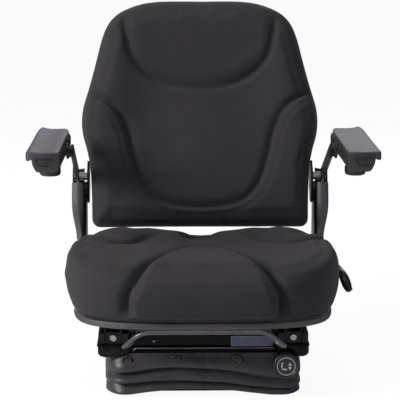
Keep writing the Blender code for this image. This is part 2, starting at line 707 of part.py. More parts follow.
def build_weight_setting():
    """The knob at the front, its spindle and the closed drive housing of the camshaft."""
    top = TOP_PLATE_Z - GAP
    low = (TOP_WALL_X + GAP, HOUSING_FRONT, SPINDLE_Z - 0.014)
    high = (SPINDLE_X + 0.013, HOUSING_REAR, top)
    housing = add_part("drive_housing", box_mesh("drive_housing", low, high), BLACK_STEEL)
    bevel(housing, 0.002)
    hole = rod_mesh("spindle_hole", (SPINDLE_X, HOUSING_FRONT - 0.01, SPINDLE_Z),
                    (SPINDLE_X, HOUSING_FRONT + 0.012, SPINDLE_Z), SPINDLE_RADIUS + GAP)
    boolean(housing, add_cutter("spindle_hole", hole), "DIFFERENCE")
    hole = rod_mesh("shaft_hole", (TOP_WALL_X - 0.01, SPRING_Y, CAM_Z), (SPINDLE_X + GAP, SPRING_Y, CAM_Z),
                    CAM_SHAFT_RADIUS + GAP, segments=12)
    boolean(housing, add_cutter("camshaft_end_hole", hole), "DIFFERENCE")
    axis = pivot("weight_knob_axis", (SPINDLE_X, KNOB_BACK, SPINDLE_Z))
    bore_end = KNOB_BACK - 0.012
    spindle = rod_mesh("preload_spindle", (SPINDLE_X, bore_end + GAP, SPINDLE_Z),
                       (SPINDLE_X, HOUSING_FRONT + 0.012 - GAP, SPINDLE_Z), SPINDLE_RADIUS)
    add_part("preload_spindle", spindle, ZINC, axis)
    depth = KNOB_BACK - KNOB_FRONT
    face = KNOB_RADIUS * 0.72
    profile = [(0, depth - 0.0012), (face, depth - 0.0012), (face + 0.0006, depth), (KNOB_RADIUS - 0.003, depth),
               (KNOB_RADIUS - 0.0008, depth - 0.001), (KNOB_RADIUS, depth - 0.0035), (KNOB_RADIUS, 0.002),
               (KNOB_RADIUS - 0.002, 0), (SPINDLE_RADIUS + GAP, 0), (SPINDLE_RADIUS + GAP, 0.012), (0, 0.012)]
    mesh = turned_mesh("weight_knob", profile, (SPINDLE_X, KNOB_BACK, SPINDLE_Z), (0, -1, 0), segments=24)
    add_part("weight_knob", mesh, PLASTIC, axis)


def frame_ring(half, front, rear, radius, height):
    """Return a ring round a rounded rectangle. The height is a function of the place on it."""
    corner_steps, long_steps, side_steps = 3, 7, 2
    centres = [(half - radius, rear - radius, 0), (-half + radius, rear - radius, 90),
               (-half + radius, front + radius, 180), (half - radius, front + radius, 270)]
    plan = []
    for index, (x, y, start) in enumerate(centres):
        plan += arc((x, y), radius, start, start + 90, corner_steps)
        after = centres[(index + 1) % 4]
        steps = long_steps if index % 2 == 0 else side_steps
        begin = Vector(plan[-1])
        end = Vector(arc(after[:2], radius, after[2], after[2], 1)[0])
        for step in range(1, steps):
            plan.append(tuple(begin.lerp(end, step / steps)))
    return [(x, y, height(x, y)) for x, y in plan]


def build_boot():
    """The folded rubber boot, its push clips, and the holes that they share with the front plate."""
    folds = [(0.0005, 0.007), (0.019, 0.008), (0.0235, 0.000), (0.028, 0.006), (0.038, 0.007),
             (0.0425, -0.001), (0.048, 0.004), (0.054, 0.003), (0.059, -0.005), (BOOT_TOP_Z, -0.005)]
    rings = []
    for level, proud in folds:
        def height(x, y, level=level):
            share = max(0.0, min(1.0, (BOOT_FRONT * 0.55 - y) / 0.04))
            rise = BOOT_ARCH * share * (1 - (x / BOOT_HALF) ** 2) * (1 - level / BOOT_TOP_Z)
            return level + max(0.0, rise)
        rings.append(frame_ring(BOOT_HALF + proud, BOOT_FRONT - proud, BOOT_REAR + proud, BOOT_CORNER, height))
    boot = add_part("folded_boot", ring_mesh("folded_boot", rings, (False, False)), RUBBER)
    wall = boot.modifiers.new("rubber_wall", "SOLIDIFY")
    wall.thickness = BOOT_WALL
    wall.offset = -1.0
    hole = rod_mesh("spindle_opening", (SPINDLE_X, BOOT_FRONT - 0.03, SPINDLE_Z),
                    (SPINDLE_X, BOOT_FRONT + 0.03, SPINDLE_Z), SPINDLE_RADIUS * 2)
    boolean(boot, add_cutter("spindle_opening", hole), "DIFFERENCE")
    clip_z = BOOT_TOP_Z - 0.012
    band_y = BOOT_FRONT + 0.005
    shank = 0.003
    for index, x in enumerate(CLIP_XS[1:] + CLIP_XS[:1], 1):
        profile = [(0, 0.0032), (CLIP_RADIUS * 0.6, 0.0028), (CLIP_RADIUS, 0.0012), (CLIP_RADIUS, 0.0005),
                   (shank, 0.0005), (shank, -0.004), (0, -0.004)]
        mesh = turned_mesh("boot_clip", profile, (x, band_y, clip_z), (0, -1, 0), segments=12)
        add_part(f"boot_clip_{index}", mesh, PLASTIC)
        hole = rod_mesh("clip_hole", (x, band_y - 0.01, clip_z), (x, band_y + 0.012, clip_z), shank + GAP,
                        segments=12)
        cutter = add_cutter(f"clip_hole_{index}", hole)
        boolean(boot, cutter, "DIFFERENCE")
        if abs(x) < RAIL_X - RAIL_HALF - 0.010:
            boolean(bpy.data.objects["front_cross_plate"], cutter, "DIFFERENCE")
    return boot


def build_rails():
    """The fixed rails with their stops and bolts, and the sliders that carry the pan."""
    inner = RAIL_HALF - RAIL_WALL
    lip = RAIL_HALF - RAIL_LIP
    floor = RAIL_BOTTOM_Z + RAIL_WALL
    lower_half = [(RAIL_HALF, RAIL_BOTTOM_Z), (RAIL_HALF, RAIL_TOP_Z), (lip, RAIL_TOP_Z),
                  (lip, RAIL_TOP_Z - RAIL_WALL), (inner, RAIL_TOP_Z - RAIL_WALL), (inner, floor)]
    foot = inner - GAP
    web_in = SLIDER_HALF - RAIL_WALL
    foot_z = floor + GAP
    upper_half = [(foot, foot_z), (foot, foot_z + RAIL_WALL), (SLIDER_HALF, foot_z + RAIL_WALL),
                  (SLIDER_HALF, SLIDER_TOP_Z)]
    inner_half = [(web_in, SLIDER_TOP_Z - RAIL_WALL), (web_in, foot_z)]
    stop_half = web_in - RUN
    stop_top = BAR_PIVOT_Z - BAR_RADIUS - 0.001
    bolt_z = floor + 0.012
    for name, side in SIDES.items():
        middle = side * RAIL_X
        outline = [(middle + x, z) for x, z in lower_half] + [(middle - x, z) for x, z in reversed(lower_half)]
        rail = add_part(f"lower_rail_{name}", plate_mesh("lower_rail", [outline], "XZ", -RAIL_HALF_LENGTH,
                                                         RAIL_HALF_LENGTH), BLACK_STEEL)
        stop = box_mesh("rail_stop", (middle - stop_half, -RAIL_HALF_LENGTH + GAP, floor - 0.001),
                        (middle + stop_half, -RAIL_HALF_LENGTH + STOP_DEPTH, stop_top))
        boolean(rail, add_cutter(f"rail_stop_{name}", stop), "UNION")
        cap_y, clear, step = -RAIL_HALF_LENGTH - CAP_DEPTH, GAP + RUN, foot + GAP + RUN
        cap = [(RAIL_HALF, CAP_LOW_Z), (RAIL_HALF, RAIL_TOP_Z), (SLIDER_HALF + clear, RAIL_TOP_Z),
               (SLIDER_HALF + clear, foot_z + RAIL_WALL + clear), (step, foot_z + RAIL_WALL + clear),
               (step, foot_z - clear + GAP)]
        outline = [(middle + x, z) for x, z in cap] + [(middle - x, z) for x, z in reversed(cap)]
        cap = plate_mesh("rail_cap", [outline], "XZ", cap_y, -RAIL_HALF_LENGTH + 0.001)
        boolean(rail, add_cutter(f"rail_cap_{name}", cap), "UNION")
        start = (middle, -RAIL_HALF_LENGTH - 0.01, bolt_z)
        hole = rod_mesh("bolt_hole", start, (middle, -RAIL_HALF_LENGTH + 0.014, bolt_z), 0.0033, segments=12)
        boolean(rail, add_cutter(f"rail_bolt_hole_{name}", hole), "DIFFERENCE")
        profile = [(0, 0.005), (RAIL_BOLT_RADIUS * 0.86, 0.005), (RAIL_BOLT_RADIUS, 0.004),
                   (RAIL_BOLT_RADIUS, 0.0), (0.003, 0.0), (0.003, -0.012), (0, -0.012)]
        place = (middle, -RAIL_HALF_LENGTH, bolt_z)
        mesh = turned_mesh("rail_bolt", profile, place, (0, -1, 0), segments=12)
        add_part(f"rail_bolt_{name}", mesh, ZINC)
        right = upper_half + [(-x, z) for x, z in reversed(upper_half)]
        hollow = [(-x, z) for x, z in reversed(inner_half)] + inner_half
        outline = [(middle + x, z) for x, z in right + hollow]
        slider = add_part(f"upper_rail_{name}", plate_mesh("upper_rail", [outline], "XZ", -RAIL_HALF_LENGTH,
                                                           RAIL_HALF_LENGTH), BLACK_STEEL)
        riser = box_mesh("pan_riser", (middle - SLIDER_HALF, RISER_FRONT, SLIDER_TOP_Z - 0.001),
                         (middle + SLIDER_HALF, RISER_REAR, PAN_BOTTOM_Z - GAP))
        boolean(slider, add_cutter(f"pan_riser_{name}", riser), "UNION")
        near = side * (RAIL_X - SLIDER_HALF - 0.005)
        far = side * (RAIL_X - web_in + 0.003)
        hole = rod_mesh("bar_hole", (near, BAR_PIVOT_Y, BAR_PIVOT_Z), (far, BAR_PIVOT_Y, BAR_PIVOT_Z),
                        BAR_RADIUS + GAP, segments=12)
        boolean(slider, add_cutter(f"bar_hole_{name}", hole), "DIFFERENCE")


def smooth_route(corners, radius, steps=4):
    """Return a route through corners, each one rounded."""
    route = [Vector(corners[0])]
    for before, here, after in zip(corners, corners[1:], corners[2:]):
        before, here, after = Vector(before), Vector(here), Vector(after)
        reach = min(radius, (before - here).length * 0.48, (after - here).length * 0.48)
        start = here + (before - here).normalized() * reach
        end = here + (after - here).normalized() * reach
        for step in range(steps + 1):
            share = step / steps
            route.append(start * (1 - share) ** 2 + here * 2 * share * (1 - share) + end * share ** 2)
    route.append(Vector(corners[-1]))
    return route


def build_release_bar():
    """The bent bar below the front of the seat that frees the slides."""
    axis = pivot("release_bar_axis", (0, BAR_PIVOT_Y, BAR_PIVOT_Z))
    stub = RAIL_X - SLIDER_HALF + RAIL_WALL + 0.002
    right = [(stub, BAR_PIVOT_Y, BAR_PIVOT_Z), (BAR_LEG_X, BAR_PIVOT_Y, BAR_PIVOT_Z),
             (BAR_LEG_X, BAR_LEG_Y, BAR_LEG_Z), (BAR_LOW_X, BAR_LOW_Y, BAR_LOW_Z),
             (BAR_GRIP_X, BAR_GRIP_Y, BAR_GRIP_Z)]
    left = [(-x, y, z) for x, y, z in reversed(right)]
    route = smooth_route(right + left, 0.016)
    add_part("slide_release_bar", wire_mesh("slide_release_bar", route, BAR_RADIUS, resolution=1), BLACK_STEEL,
             axis)


def eased(value, low, high):
    """Return a smooth share from 0 at low to 1 at high."""
    share = max(0.0, min(1.0, (value - low) / (high - low)))
    return share * share * (3 - 2 * share)


def reach_at(table, up):
    """Return a table's value at a height, straight between its rows."""
    for (low, start), (high, end) in zip(table, table[1:]):
        if up <= high:
            return start + (end - start) * max(0.0, (up - low) / (high - low))
    return table[-1][1]


def seat_outline(grow, count=32):
    """Return the plan outline of the seat, grown outwards by a distance."""
    points = []
    for index in range(count):
        angle = math.tau * index / count
        across, along = math.cos(angle), math.sin(angle)
        power = 2 / 4.2
        x = math.copysign(abs(across) ** power, across)
        share = math.copysign(abs(along) ** power, along)
        y = (SEAT_FRONT + SEAT_REAR) / 2 + share * (SEAT_REAR - SEAT_FRONT) / 2
        if share < 0:
            half = SEAT_HALF_MIDDLE + (SEAT_HALF_FRONT - SEAT_HALF_MIDDLE) * share ** 2
        else:
            half = SEAT_HALF_MIDDLE + (SEAT_HALF_REAR - SEAT_HALF_MIDDLE) * share ** 2
        place = Vector((x * half, y))
        outwards = Vector((x, share)).normalized()
        place += outwards * grow
        points.append((place.x, place.y))
    return points


def build_pan():
    """The pressed pan under the cushion."""
    rings = []
    middle_y = (SEAT_FRONT + SEAT_REAR) / 2
    rings.append([(x, y, PAN_BOTTOM_Z) for x, y in circle((0.0, middle_y), 0.02, 32)])
    for grow, z in ((-0.050, PAN_BOTTOM_Z), (-0.028, PAN_BOTTOM_Z + 0.0005), (-0.008, PAN_BOTTOM_Z + 0.003),
                    (-0.001, PAN_BOTTOM_Z + 0.007), (0.0, PAN_RIM_Z)):
        rings.append([(x, y, z) for x, y in seat_outline(grow)])
    pan = add_part("seat_pan", ring_mesh("seat_pan", rings, (True, False)), BLACK_STEEL)
    sheet = pan.modifiers.new("steel_sheet", "SOLIDIFY")
    sheet.thickness = PAN_SHEET
    sheet.offset = -1.0
    return pan


def cushion_top(x, y):
    """Return the height of the seat cushion's top: a hollow, rear lobes, a notch and the front arch."""
    across = min(1.0, abs(x) / CUSHION_HALF)
    along = (y - SEAT_FRONT) / (SEAT_REAR - SEAT_FRONT)
    hollow = CUSHION_HOLLOW_Z + 0.011 * across ** 2
    lobes = 0.020 * math.exp(-(((abs(x) - 0.138) / 0.072) ** 2)) * math.exp(-(((along - 0.88) / 0.13) ** 2))
    notch = 0.006 * math.exp(-((x / 0.045) ** 2)) * math.exp(-(((along - 0.90) / 0.12) ** 2))
    crease = 0.006 * math.exp(-(((y - 0.008) / 0.014) ** 2)) * eased(abs(x), 0.07, 0.11)
    rear = 0.010 * max(0.0, (along - 0.93) / 0.07) ** 2
    front = 0.014 * max(0.0, (0.20 - along) / 0.20) ** 2
    arch = 0.010 * eased(arch_inside(x, y), 0.0, 0.028) * eased(-0.02 - y, 0.0, 0.09)
    return hollow + lobes - notch - crease - rear - front + arch


def arch_inside(x, y):
    """Return how far a place lies inside the front arch of the seat cushion, across it."""
    return reach_at(ARCH_SEAM, y) - abs(x)


def build_cushion():
    """The seat cushion as a closed soft body, with the front arch standing proud of its face."""
    rings = []
    for grow, z in ((-0.060, 0.1392), (-0.034, 0.1402), (-0.0180, 0.1440), (-0.0050, 0.1571), (0.004, 0.1590)):
        rings.append([(x, y, z) for x, y in seat_outline(grow)])
    overhang = CUSHION_HALF - SEAT_HALF_MIDDLE
    for grow, z in ((overhang * 0.75, 0.174), (overhang, CUSHION_WIDEST_Z - 0.010),
                    (overhang * 0.93, CUSHION_WIDEST_Z + 0.012), (overhang * 0.45, CUSHION_SIDE_Z - 0.007)):
        ring = []
        for x, y in seat_outline(grow):
            proud = 0.007 * eased(-0.20 - y, 0.0, 0.03) * eased(arch_inside(x, y), 0.0, 0.020)
            ring.append((x, y - proud, z))
        rings.append(ring)
    middle_y = (SEAT_FRONT + SEAT_REAR) / 2
    edge = seat_outline(-0.004)
    for share in (1.0, 0.90, 0.78, 0.66, 0.54, 0.42, 0.28, 0.12):
        ring = [(x * share, middle_y + (y - middle_y) * share) for x, y in edge]
        rings.append([(x, y, cushion_top(x, y)) for x, y in ring])
    return add_part("seat_cushion", ring_mesh("seat_cushion", rings), CLOTH)


BACK_TURN = Matrix.Rotation(-LEAN, 4, "X")
BACK_PLACE = Vector((0.0, HINGE_Y, HINGE_Z))


def on_back(y, z):
    """Return a side-view place of the whole seat in the backrest's leaning frame."""
    place = BACK_TURN.inverted() @ (Vector((0.0, y, z)) - BACK_PLACE)
    return place.y, place.z


def back_outline(shrink):
    """Return the backrest's outline seen from the front, shrunk by a distance."""
    side = [Vector((half, up)) for up, half in BACK_WIDTHS]
    loop = side + [Vector((-place.x, place.y)) for place in reversed(side)]
    points = []
    for index, place in enumerate(loop):
        way = loop[(index + 1) % len(loop)] - loop[index - 1]
        inward = Vector((-way.y, way.x)).normalized()
        place = place + inward * shrink
        points.append((place.x, place.y))
    return points


def back_relief(x, up):
    """Return how far the backrest's front stands out: side wings, a head panel and a low lumbar swell."""
    wing = abs(x) - reach_at(WING_SEAM, up)
    head = up - reach_at(HEAD_SEAM, abs(x))
    relief = 0.0095 * eased(wing, -0.004, 0.024) - 0.0045 * math.exp(-((wing / 0.012) ** 2))
    relief += 0.0055 * eased(head, 0.0, 0.030) - 0.0040 * math.exp(-((head / 0.012) ** 2))
    return relief + 0.005 * math.exp(-(((up - 0.070) / 0.085) ** 2) - (x / 0.09) ** 2)


def build_backrest(axis):
    """The backrest cushion and the pressed shell behind it, with the side plates of the hinge."""
    rings = []
    edge_low, edge_high = BACK_SEAM - 0.030, BACK_SEAM
    for shrink, depth in ((0.060, edge_high), (0.010, edge_high), (0.004, edge_high - 0.004),
                          (0.0, edge_low + 0.008), (0.0, edge_low - 0.010), (0.005, edge_low - 0.026)):
        rings.append([(x, depth, up) for x, up in back_outline(shrink)])
    rings.append([(x, BACK_FRONT + 0.006, up) for x, up in back_outline(0.016)])
    middle = (BACK_LOW + BACK_HIGH) / 2
    edge = back_outline(0.030)
    for share, depth in ((1.0, 0.0025), (0.86, 0.006), (0.72, 0.010), (0.58, 0.013), (0.42, 0.015), (0.26, 0.0155),
                         (0.10, 0.0155)):
        ring = [(x * share, middle + (up - middle) * share) for x, up in edge]
        rings.append([(x, BACK_FRONT + depth - back_relief(x, up), up) for x, up in ring])
    cushion = add_part("backrest_cushion", ring_mesh("backrest_cushion", rings), CLOTH, axis, local=True)
    relief_low, relief_high = BACK_SEAM - 0.056, BACK_SEAM + 0.02
    for name, side in SIDES.items():
        low, high = sorted((side * (SIDE_PLATE_X - RUN), side * (BACK_HALF + 0.02)))
        box = box_mesh("hinge_relief", (low, relief_low, BACK_LOW - 0.02), (high, relief_high, 0.075))
        boolean(cushion, add_cutter(f"hinge_relief_{name}", box, axis, local=True), "DIFFERENCE")
    rings = []
    seam = BACK_SEAM + GAP
    for shrink, depth in ((0.006, seam), (0.007, seam + 0.006), (0.014, seam + BACK_SHELL_DEPTH * 0.62),
                          (0.030, seam + BACK_SHELL_DEPTH * 0.9), (0.070, seam + BACK_SHELL_DEPTH)):
        rings.append([(x, depth, up) for x, up in back_outline(shrink)])
    mesh = ring_mesh("backrest_shell", rings, (False, True))
    shell = add_part("backrest_shell", mesh, PLASTIC, axis, local=True)
    sheet = shell.modifiers.new("shell_wall", "SOLIDIFY")
    sheet.thickness = BACK_SHEET
    sheet.offset = -1.0
    pivot_at = on_back(ARM_PIVOT_Y, ARM_PIVOT_Z)
    for name, side in SIDES.items():
        low, high = sorted((side * SIDE_PLATE_X, side * (SIDE_PLATE_X + PLATE_SHEET)))
        radius = HINGE_EAR - 0.002
        top_up = pivot_at[1] + 0.030
        ear = arc((0, 0), radius, -180, 0, 10)
        outline = ear + [(BACK_SEAM + 0.012, 0.012), (BACK_SEAM + 0.012, top_up),
                         (pivot_at[0] + 0.004, top_up)] + arc(pivot_at, 0.018, 110, 180, 4)
        loops = [outline, circle((0, 0), 0.0065, 12), circle(pivot_at, SHAFT_RADIUS + GAP, 12)]
        plate = add_part(f"recliner_side_plate_{name}", plate_mesh("side_plate", loops, "YZ", low, high),
                         BLACK_STEEL, axis, local=True)
        relief = box_mesh("plate_relief", (low - RUN, -0.06, BACK_LOW - 0.02), (high + 0.04, 0.06, top_up + RUN))
        if side < 0:
            relief = box_mesh("plate_relief", (low - 0.04, -0.06, BACK_LOW - 0.02), (high + RUN, 0.06, top_up + RUN))
        boolean(shell, add_cutter(f"plate_relief_{name}", relief, axis, local=True), "DIFFERENCE")
    return cushion, shell


def build_recliner():
    """The fixed brackets, the hinge bolts and the lever that frees the backrest."""
    foot_low, foot_high = SLIDER_TOP_Z + GAP, PAN_BOTTOM_Z - GAP
    foot_in = RAIL_X - SLIDER_HALF + 0.003
    outer = BRACKET_X + PLATE_SHEET
    front, rear = LEVER_Y - 0.022, HINGE_Y + 0.022
    for name, side in SIDES.items():
        low, high = sorted((side * BRACKET_X, side * outer))
        outline = [(front, foot_low), (rear, foot_low)] + arc((HINGE_Y, HINGE_Z), HINGE_EAR, 0, 180, 10)
        outline += [(front, LEVER_Z + 0.03)]
        loops = [outline, circle((HINGE_Y, HINGE_Z), 0.0063, 12), circle((LEVER_Y, LEVER_Z), 0.0053, 12)]
        bracket = add_part(f"recliner_bracket_{name}", plate_mesh("recliner_bracket", loops, "YZ", low, high),
                           BLACK_STEEL)
        low, high = sorted((side * foot_in, side * (outer - GAP)))
        foot = box_mesh("bracket_foot", (low, front, foot_low), (high, rear - 0.020, foot_high))
        boolean(bracket, add_cutter(f"bracket_foot_{name}", foot), "UNION")
        start = SIDE_PLATE_X + GAP
        length = outer + GAP - start
        profile = [(0, length + 0.0045), (0.008, length + 0.0045), (0.0095, length + 0.003), (0.0095, length),
                   (0.006, length), (0.006, 0), (0, 0)]
        mesh = turned_mesh("recline_bolt", profile, (side * start, HINGE_Y, HINGE_Z), (side, 0, 0), segments=12)
        add_part(f"recline_bolt_{name}", mesh, ZINC)
    axis = pivot("recline_lever_axis", (outer, LEVER_Y, LEVER_Z))
    hub_in = outer + GAP
    profile = [(0, 0.006), (0.010, 0.006), (0.0115, 0.0045), (0.0115, 0), (0.005, 0), (0.005, -0.0042),
               (0, -0.0042)]
    lever = add_part("recline_lever", turned_mesh("lever_hub", profile, (hub_in, LEVER_Y, LEVER_Z), (1, 0, 0)),
                     PLASTIC, axis)
    start = hub_in + 0.0035
    corners = [(start, LEVER_Y - 0.002, LEVER_Z), (start + 0.004, LEVER_Y - 0.030, LEVER_Z - 0.002),
               (0.2615, 0.050, 0.186), (0.2630, -0.005, 0.186), (0.2680, -0.024, 0.174), (0.2735, -0.034, 0.160)]
    route = smooth_route(corners, 0.012, 3)
    grow = [1.0 if place.y > 0.02 else 1.0 + min(1.0, (0.02 - place.y) / 0.03) * 0.7 for place in route]
    arm = wire_mesh("lever_arm", route, LEVER_RADIUS, resolution=2, radii=grow)
    boolean(lever, add_cutter("lever_arm", arm, axis), "UNION")


def build_side_covers(axis):
    """The moulded covers over the hinge and the armrest pivot, slotted for the armrest plate."""
    inner = BRACKET_X + PLATE_SHEET + LAYER_PLAY
    middle = -0.006
    top = on_back(ARM_PIVOT_Y, ARM_PIVOT_Z)[1] + 0.022
    low = BACK_LOW - 0.012
    outline = rounded([(middle - 0.014, low), (middle + 0.014, low), (middle + 0.030, -0.02), (middle + 0.030, 0.020),
                       (middle + 0.014, top), (middle - 0.018, top), (middle - 0.032, 0.020),
                       (middle - 0.030, -0.02)], 0.022, 2)
    centre = Vector((middle, (low + top) / 2))
    hollow = []
    for y, z in outline:
        place = Vector((y, z)) - centre
        place = centre + place * (1 - COVER_SHEET / place.length * 1.15)
        hollow.append((place.x, place.y))
    slot_low = ARM_PLATE_X - RUN * 2
    slot_high = ARM_PLATE_X + PLATE_SHEET + RUN * 2
    for name, side in SIDES.items():
        ends = sorted((side * inner, side * COVER_OUTER_X))
        cover = add_part(f"side_cover_{name}", plate_mesh("side_cover", [outline], "YZ", *ends), PLASTIC, axis,
                         local=True)
        bevel(cover, 0.002, 1, 60)
        ends = sorted((side * (inner - 0.004), side * (COVER_OUTER_X - COVER_SHEET)))
        cutter = add_cutter(f"cover_hollow_{name}", plate_mesh("cover_hollow", [hollow], "YZ", *ends), axis,
                            local=True)
        boolean(cover, cutter, "DIFFERENCE")
        ends = sorted((side * slot_low, side * slot_high))
        slot = box_mesh("cover_slot", (ends[0], middle - 0.06, -0.012), (ends[1], middle + 0.06, top + 0.02))
        boolean(cover, add_cutter(f"cover_slot_{name}", slot, axis, local=True), "DIFFERENCE")
        start = SIDE_PLATE_X + GAP
        length = ARM_PLATE_X + PLATE_SHEET + GAP - start
        collar = ARM_PLATE_X - GAP - start
        step = PLATE_SHEET + GAP
        radius = SHAFT_RADIUS
        head = COVER_OUTER_X - COVER_SHEET - GAP - start
        profile = [(0, head), (0.008, head), (0.009, head - 0.001), (0.009, length),
                   (radius, length), (radius, collar), (radius + 0.0025, collar), (radius + 0.0025, step),
                   (radius, step), (radius, 0), (0, 0)]
        place = (side * start, *on_back(ARM_PIVOT_Y, ARM_PIVOT_Z))
        mesh = turned_mesh("armrest_bolt", profile, place, (side, 0, 0), segments=12)
        add_part(f"armrest_bolt_{name}", mesh, ZINC, axis, local=True)


def rest_section(y, inset, low, high, overhang=0.0):
    """Return one section across an armrest, as a flat rounded box. The overhang narrows it on the outside."""
    share = (y - REST_FRONT) / (REST_REAR - REST_FRONT)
    half = REST_HALF - inset
    if share > 0.80:
        half -= 0.006 * ((share - 0.80) / 0.20) ** 2
    radius = min(0.010, (high - low) * 0.45)
    corners = [(-half, low), (half - overhang, low), (half - overhang, high), (-half, high)]
    return [(REST_X + x, y, z) for x, z in rounded(corners, radius, 3)]


def build_armrest(name, side):
    """One armrest: plate, body, top pad and tilt wheel."""
    lift_axis = pivot(f"armrest_lift_axis_{name}", (side * ARM_PLATE_X, ARM_PIVOT_Y, ARM_PIVOT_Z))
    tilt_axis = pivot(f"armrest_tilt_axis_{name}", (side * ARM_PLATE_X, TILT_Y, TILT_Z))
    loops = [slot_outline((ARM_PIVOT_Y, ARM_PIVOT_Z), (TILT_Y, TILT_Z), ARM_PLATE_HALF + 0.001, ARM_PLATE_HALF),
             circle((ARM_PIVOT_Y, ARM_PIVOT_Z), SHAFT_RADIUS + GAP, 12)]
    mesh = plate_mesh("armrest_plate", loops, "YZ", ARM_PLATE_X, ARM_PLATE_X + PLATE_SHEET)
    add_part(f"armrest_plate_{name}", mirrored(mesh, side), BLACK_STEEL, lift_axis)
    body_rings = []
    span = REST_REAR - REST_FRONT
    for share, inset, lift in ((0.0, 0.006, 0.008), (0.02, 0.001, 0.003), (0.10, 0.0, 0.0), (0.40, 0.0, 0.0),
                               (0.75, 0.0, 0.002), (0.92, 0.002, 0.006), (1.0, 0.007, 0.013)):
        body_rings.append(rest_section(REST_FRONT + span * share, inset, REST_BOTTOM_Z + lift, REST_SEAM_Z - GAP,
                                       REST_OVERHANG))
    body_mesh = mirrored(ring_mesh("armrest_body", body_rings), side)
    body = add_part(f"armrest_body_{name}", body_mesh, PLASTIC, tilt_axis)
    boss_in = ARM_PLATE_X + PLATE_SHEET + GAP
    boss = rod_mesh("tilt_boss", (side * boss_in, TILT_Y, TILT_Z), (side * (REST_X - 0.010), TILT_Y, TILT_Z),
                    TILT_BOSS_RADIUS)
    boolean(body, add_cutter(f"tilt_boss_{name}", boss, tilt_axis), "UNION")
    pad_rings = []
    for share, inset, drop in ((0.0, 0.006, 0.006), (0.015, 0.002, 0.003), (0.07, 0.0, 0.0), (0.40, 0.0, 0.0),
                               (0.75, 0.0, -0.001), (0.93, 0.001, -0.002), (1.0, 0.006, 0.003)):
        y = REST_FRONT + span * share
        section = rest_section(y, inset, REST_SEAM_Z, REST_TOP_Z - drop)
        pad_rings.append(section)
    pad = mirrored(ring_mesh("armrest_pad", pad_rings), side)
    add_part(f"armrest_pad_{name}", pad, FOAM_SKIN, tilt_axis)
    wheel_x = side * (REST_X - 0.004)
    wheel_top = REST_BOTTOM_Z - GAP
    wheel_axis = pivot(f"armrest_wheel_axis_{name}", (wheel_x, WHEEL_Y, wheel_top))
    profile = [(0, 0), (WHEEL_RADIUS - 0.002, 0), (WHEEL_RADIUS, -0.003), (WHEEL_RADIUS, -WHEEL_HEIGHT + 0.004),
               (WHEEL_RADIUS - 0.004, -WHEEL_HEIGHT), (0, -WHEEL_HEIGHT)]
    mesh = turned_mesh("armrest_wheel", profile, (wheel_x, WHEEL_Y, wheel_top), (0, 0, 1), segments=20)
    add_part(f"armrest_wheel_{name}", mesh, PLASTIC, wheel_axis)


def main():
    """Build the whole seat."""
    build_base()
    build_scissors()
    build_upper_frame()
    build_damper()
    build_springs()
    build_weight_setting()
    build_boot()
    build_rails()
    build_release_bar()
    build_pan()
    build_cushion()
    back_axis = pivot("backrest_axis", BACK_PLACE, BACK_TURN)
    build_backrest(back_axis)
    build_recliner()
    build_side_covers(back_axis)
    for name, side in SIDES.items():
        build_armrest(name, side)


main()
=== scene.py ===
"""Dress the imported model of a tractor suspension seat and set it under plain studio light."""

import json
import logging
import math
from collections.abc import Callable, Iterable, Sequence
from dataclasses import dataclass
from enum import Enum

import bmesh
import bpy
import numpy as np
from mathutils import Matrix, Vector


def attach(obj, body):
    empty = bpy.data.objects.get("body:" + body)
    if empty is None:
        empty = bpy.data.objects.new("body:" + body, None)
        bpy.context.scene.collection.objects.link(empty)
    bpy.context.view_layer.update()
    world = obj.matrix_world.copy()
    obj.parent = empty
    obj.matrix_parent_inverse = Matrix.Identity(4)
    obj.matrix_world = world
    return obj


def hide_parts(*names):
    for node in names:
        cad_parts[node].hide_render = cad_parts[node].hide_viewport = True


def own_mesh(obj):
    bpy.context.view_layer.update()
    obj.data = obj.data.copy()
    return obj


logging.basicConfig(level=logging.INFO, format="%(message)s")
LOG = logging.getLogger("suspension_seat")

Point = tuple[float, float, float]
Flat = tuple[float, float]
Skin = tuple[list, list]
Piece = bpy.types.Object
Tree = bpy.types.NodeTree
Node = bpy.types.Node
Socket = bpy.types.NodeSocket

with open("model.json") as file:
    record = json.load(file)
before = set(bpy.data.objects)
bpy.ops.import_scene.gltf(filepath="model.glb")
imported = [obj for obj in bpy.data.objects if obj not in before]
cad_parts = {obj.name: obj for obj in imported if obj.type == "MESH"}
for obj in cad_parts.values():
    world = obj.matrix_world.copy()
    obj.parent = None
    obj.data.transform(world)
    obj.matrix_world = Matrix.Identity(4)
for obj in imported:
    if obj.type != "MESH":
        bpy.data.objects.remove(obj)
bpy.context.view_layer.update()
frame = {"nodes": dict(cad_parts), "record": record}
SIDES = {"left": -1.0, "right": 1.0}
FORWARD = (0, -1, 0)
# A wave texture repeats every 0.314 m at scale 1, and a noise texture has spots of about 0.5 m.
WAVE_PERIOD = 0.314
NOISE_PERIOD = 0.5
# The cloth simulation's settings: a thin knit over foam that swells evenly and weighs nothing.
INFLATION = {"quality": 6, "mass": 0.3, "tension_stiffness": 18.0, "compression_stiffness": 18.0,
             "shear_stiffness": 6.0, "bending_stiffness": 0.8, "use_pressure": True}
INFLATION_FRAMES = 20
INWARD_LEFT_OUT = 0.92


def linear(colour: str) -> tuple[float, float, float, float]:
    """Turn an sRGB hex colour into Blender's linear colour.

    Args:
        colour: A colour such as "#2b2a2d".

    Returns:
        Red, green, blue and alpha, linear.
    """
    parts = [int(colour[i:i + 2], 16) / 255 for i in (1, 3, 5)]
    levels = [c / 12.92 if c <= 0.04045 else ((c + 0.055) / 1.055) ** 2.4 for c in parts]
    return levels[0], levels[1], levels[2], 1.0


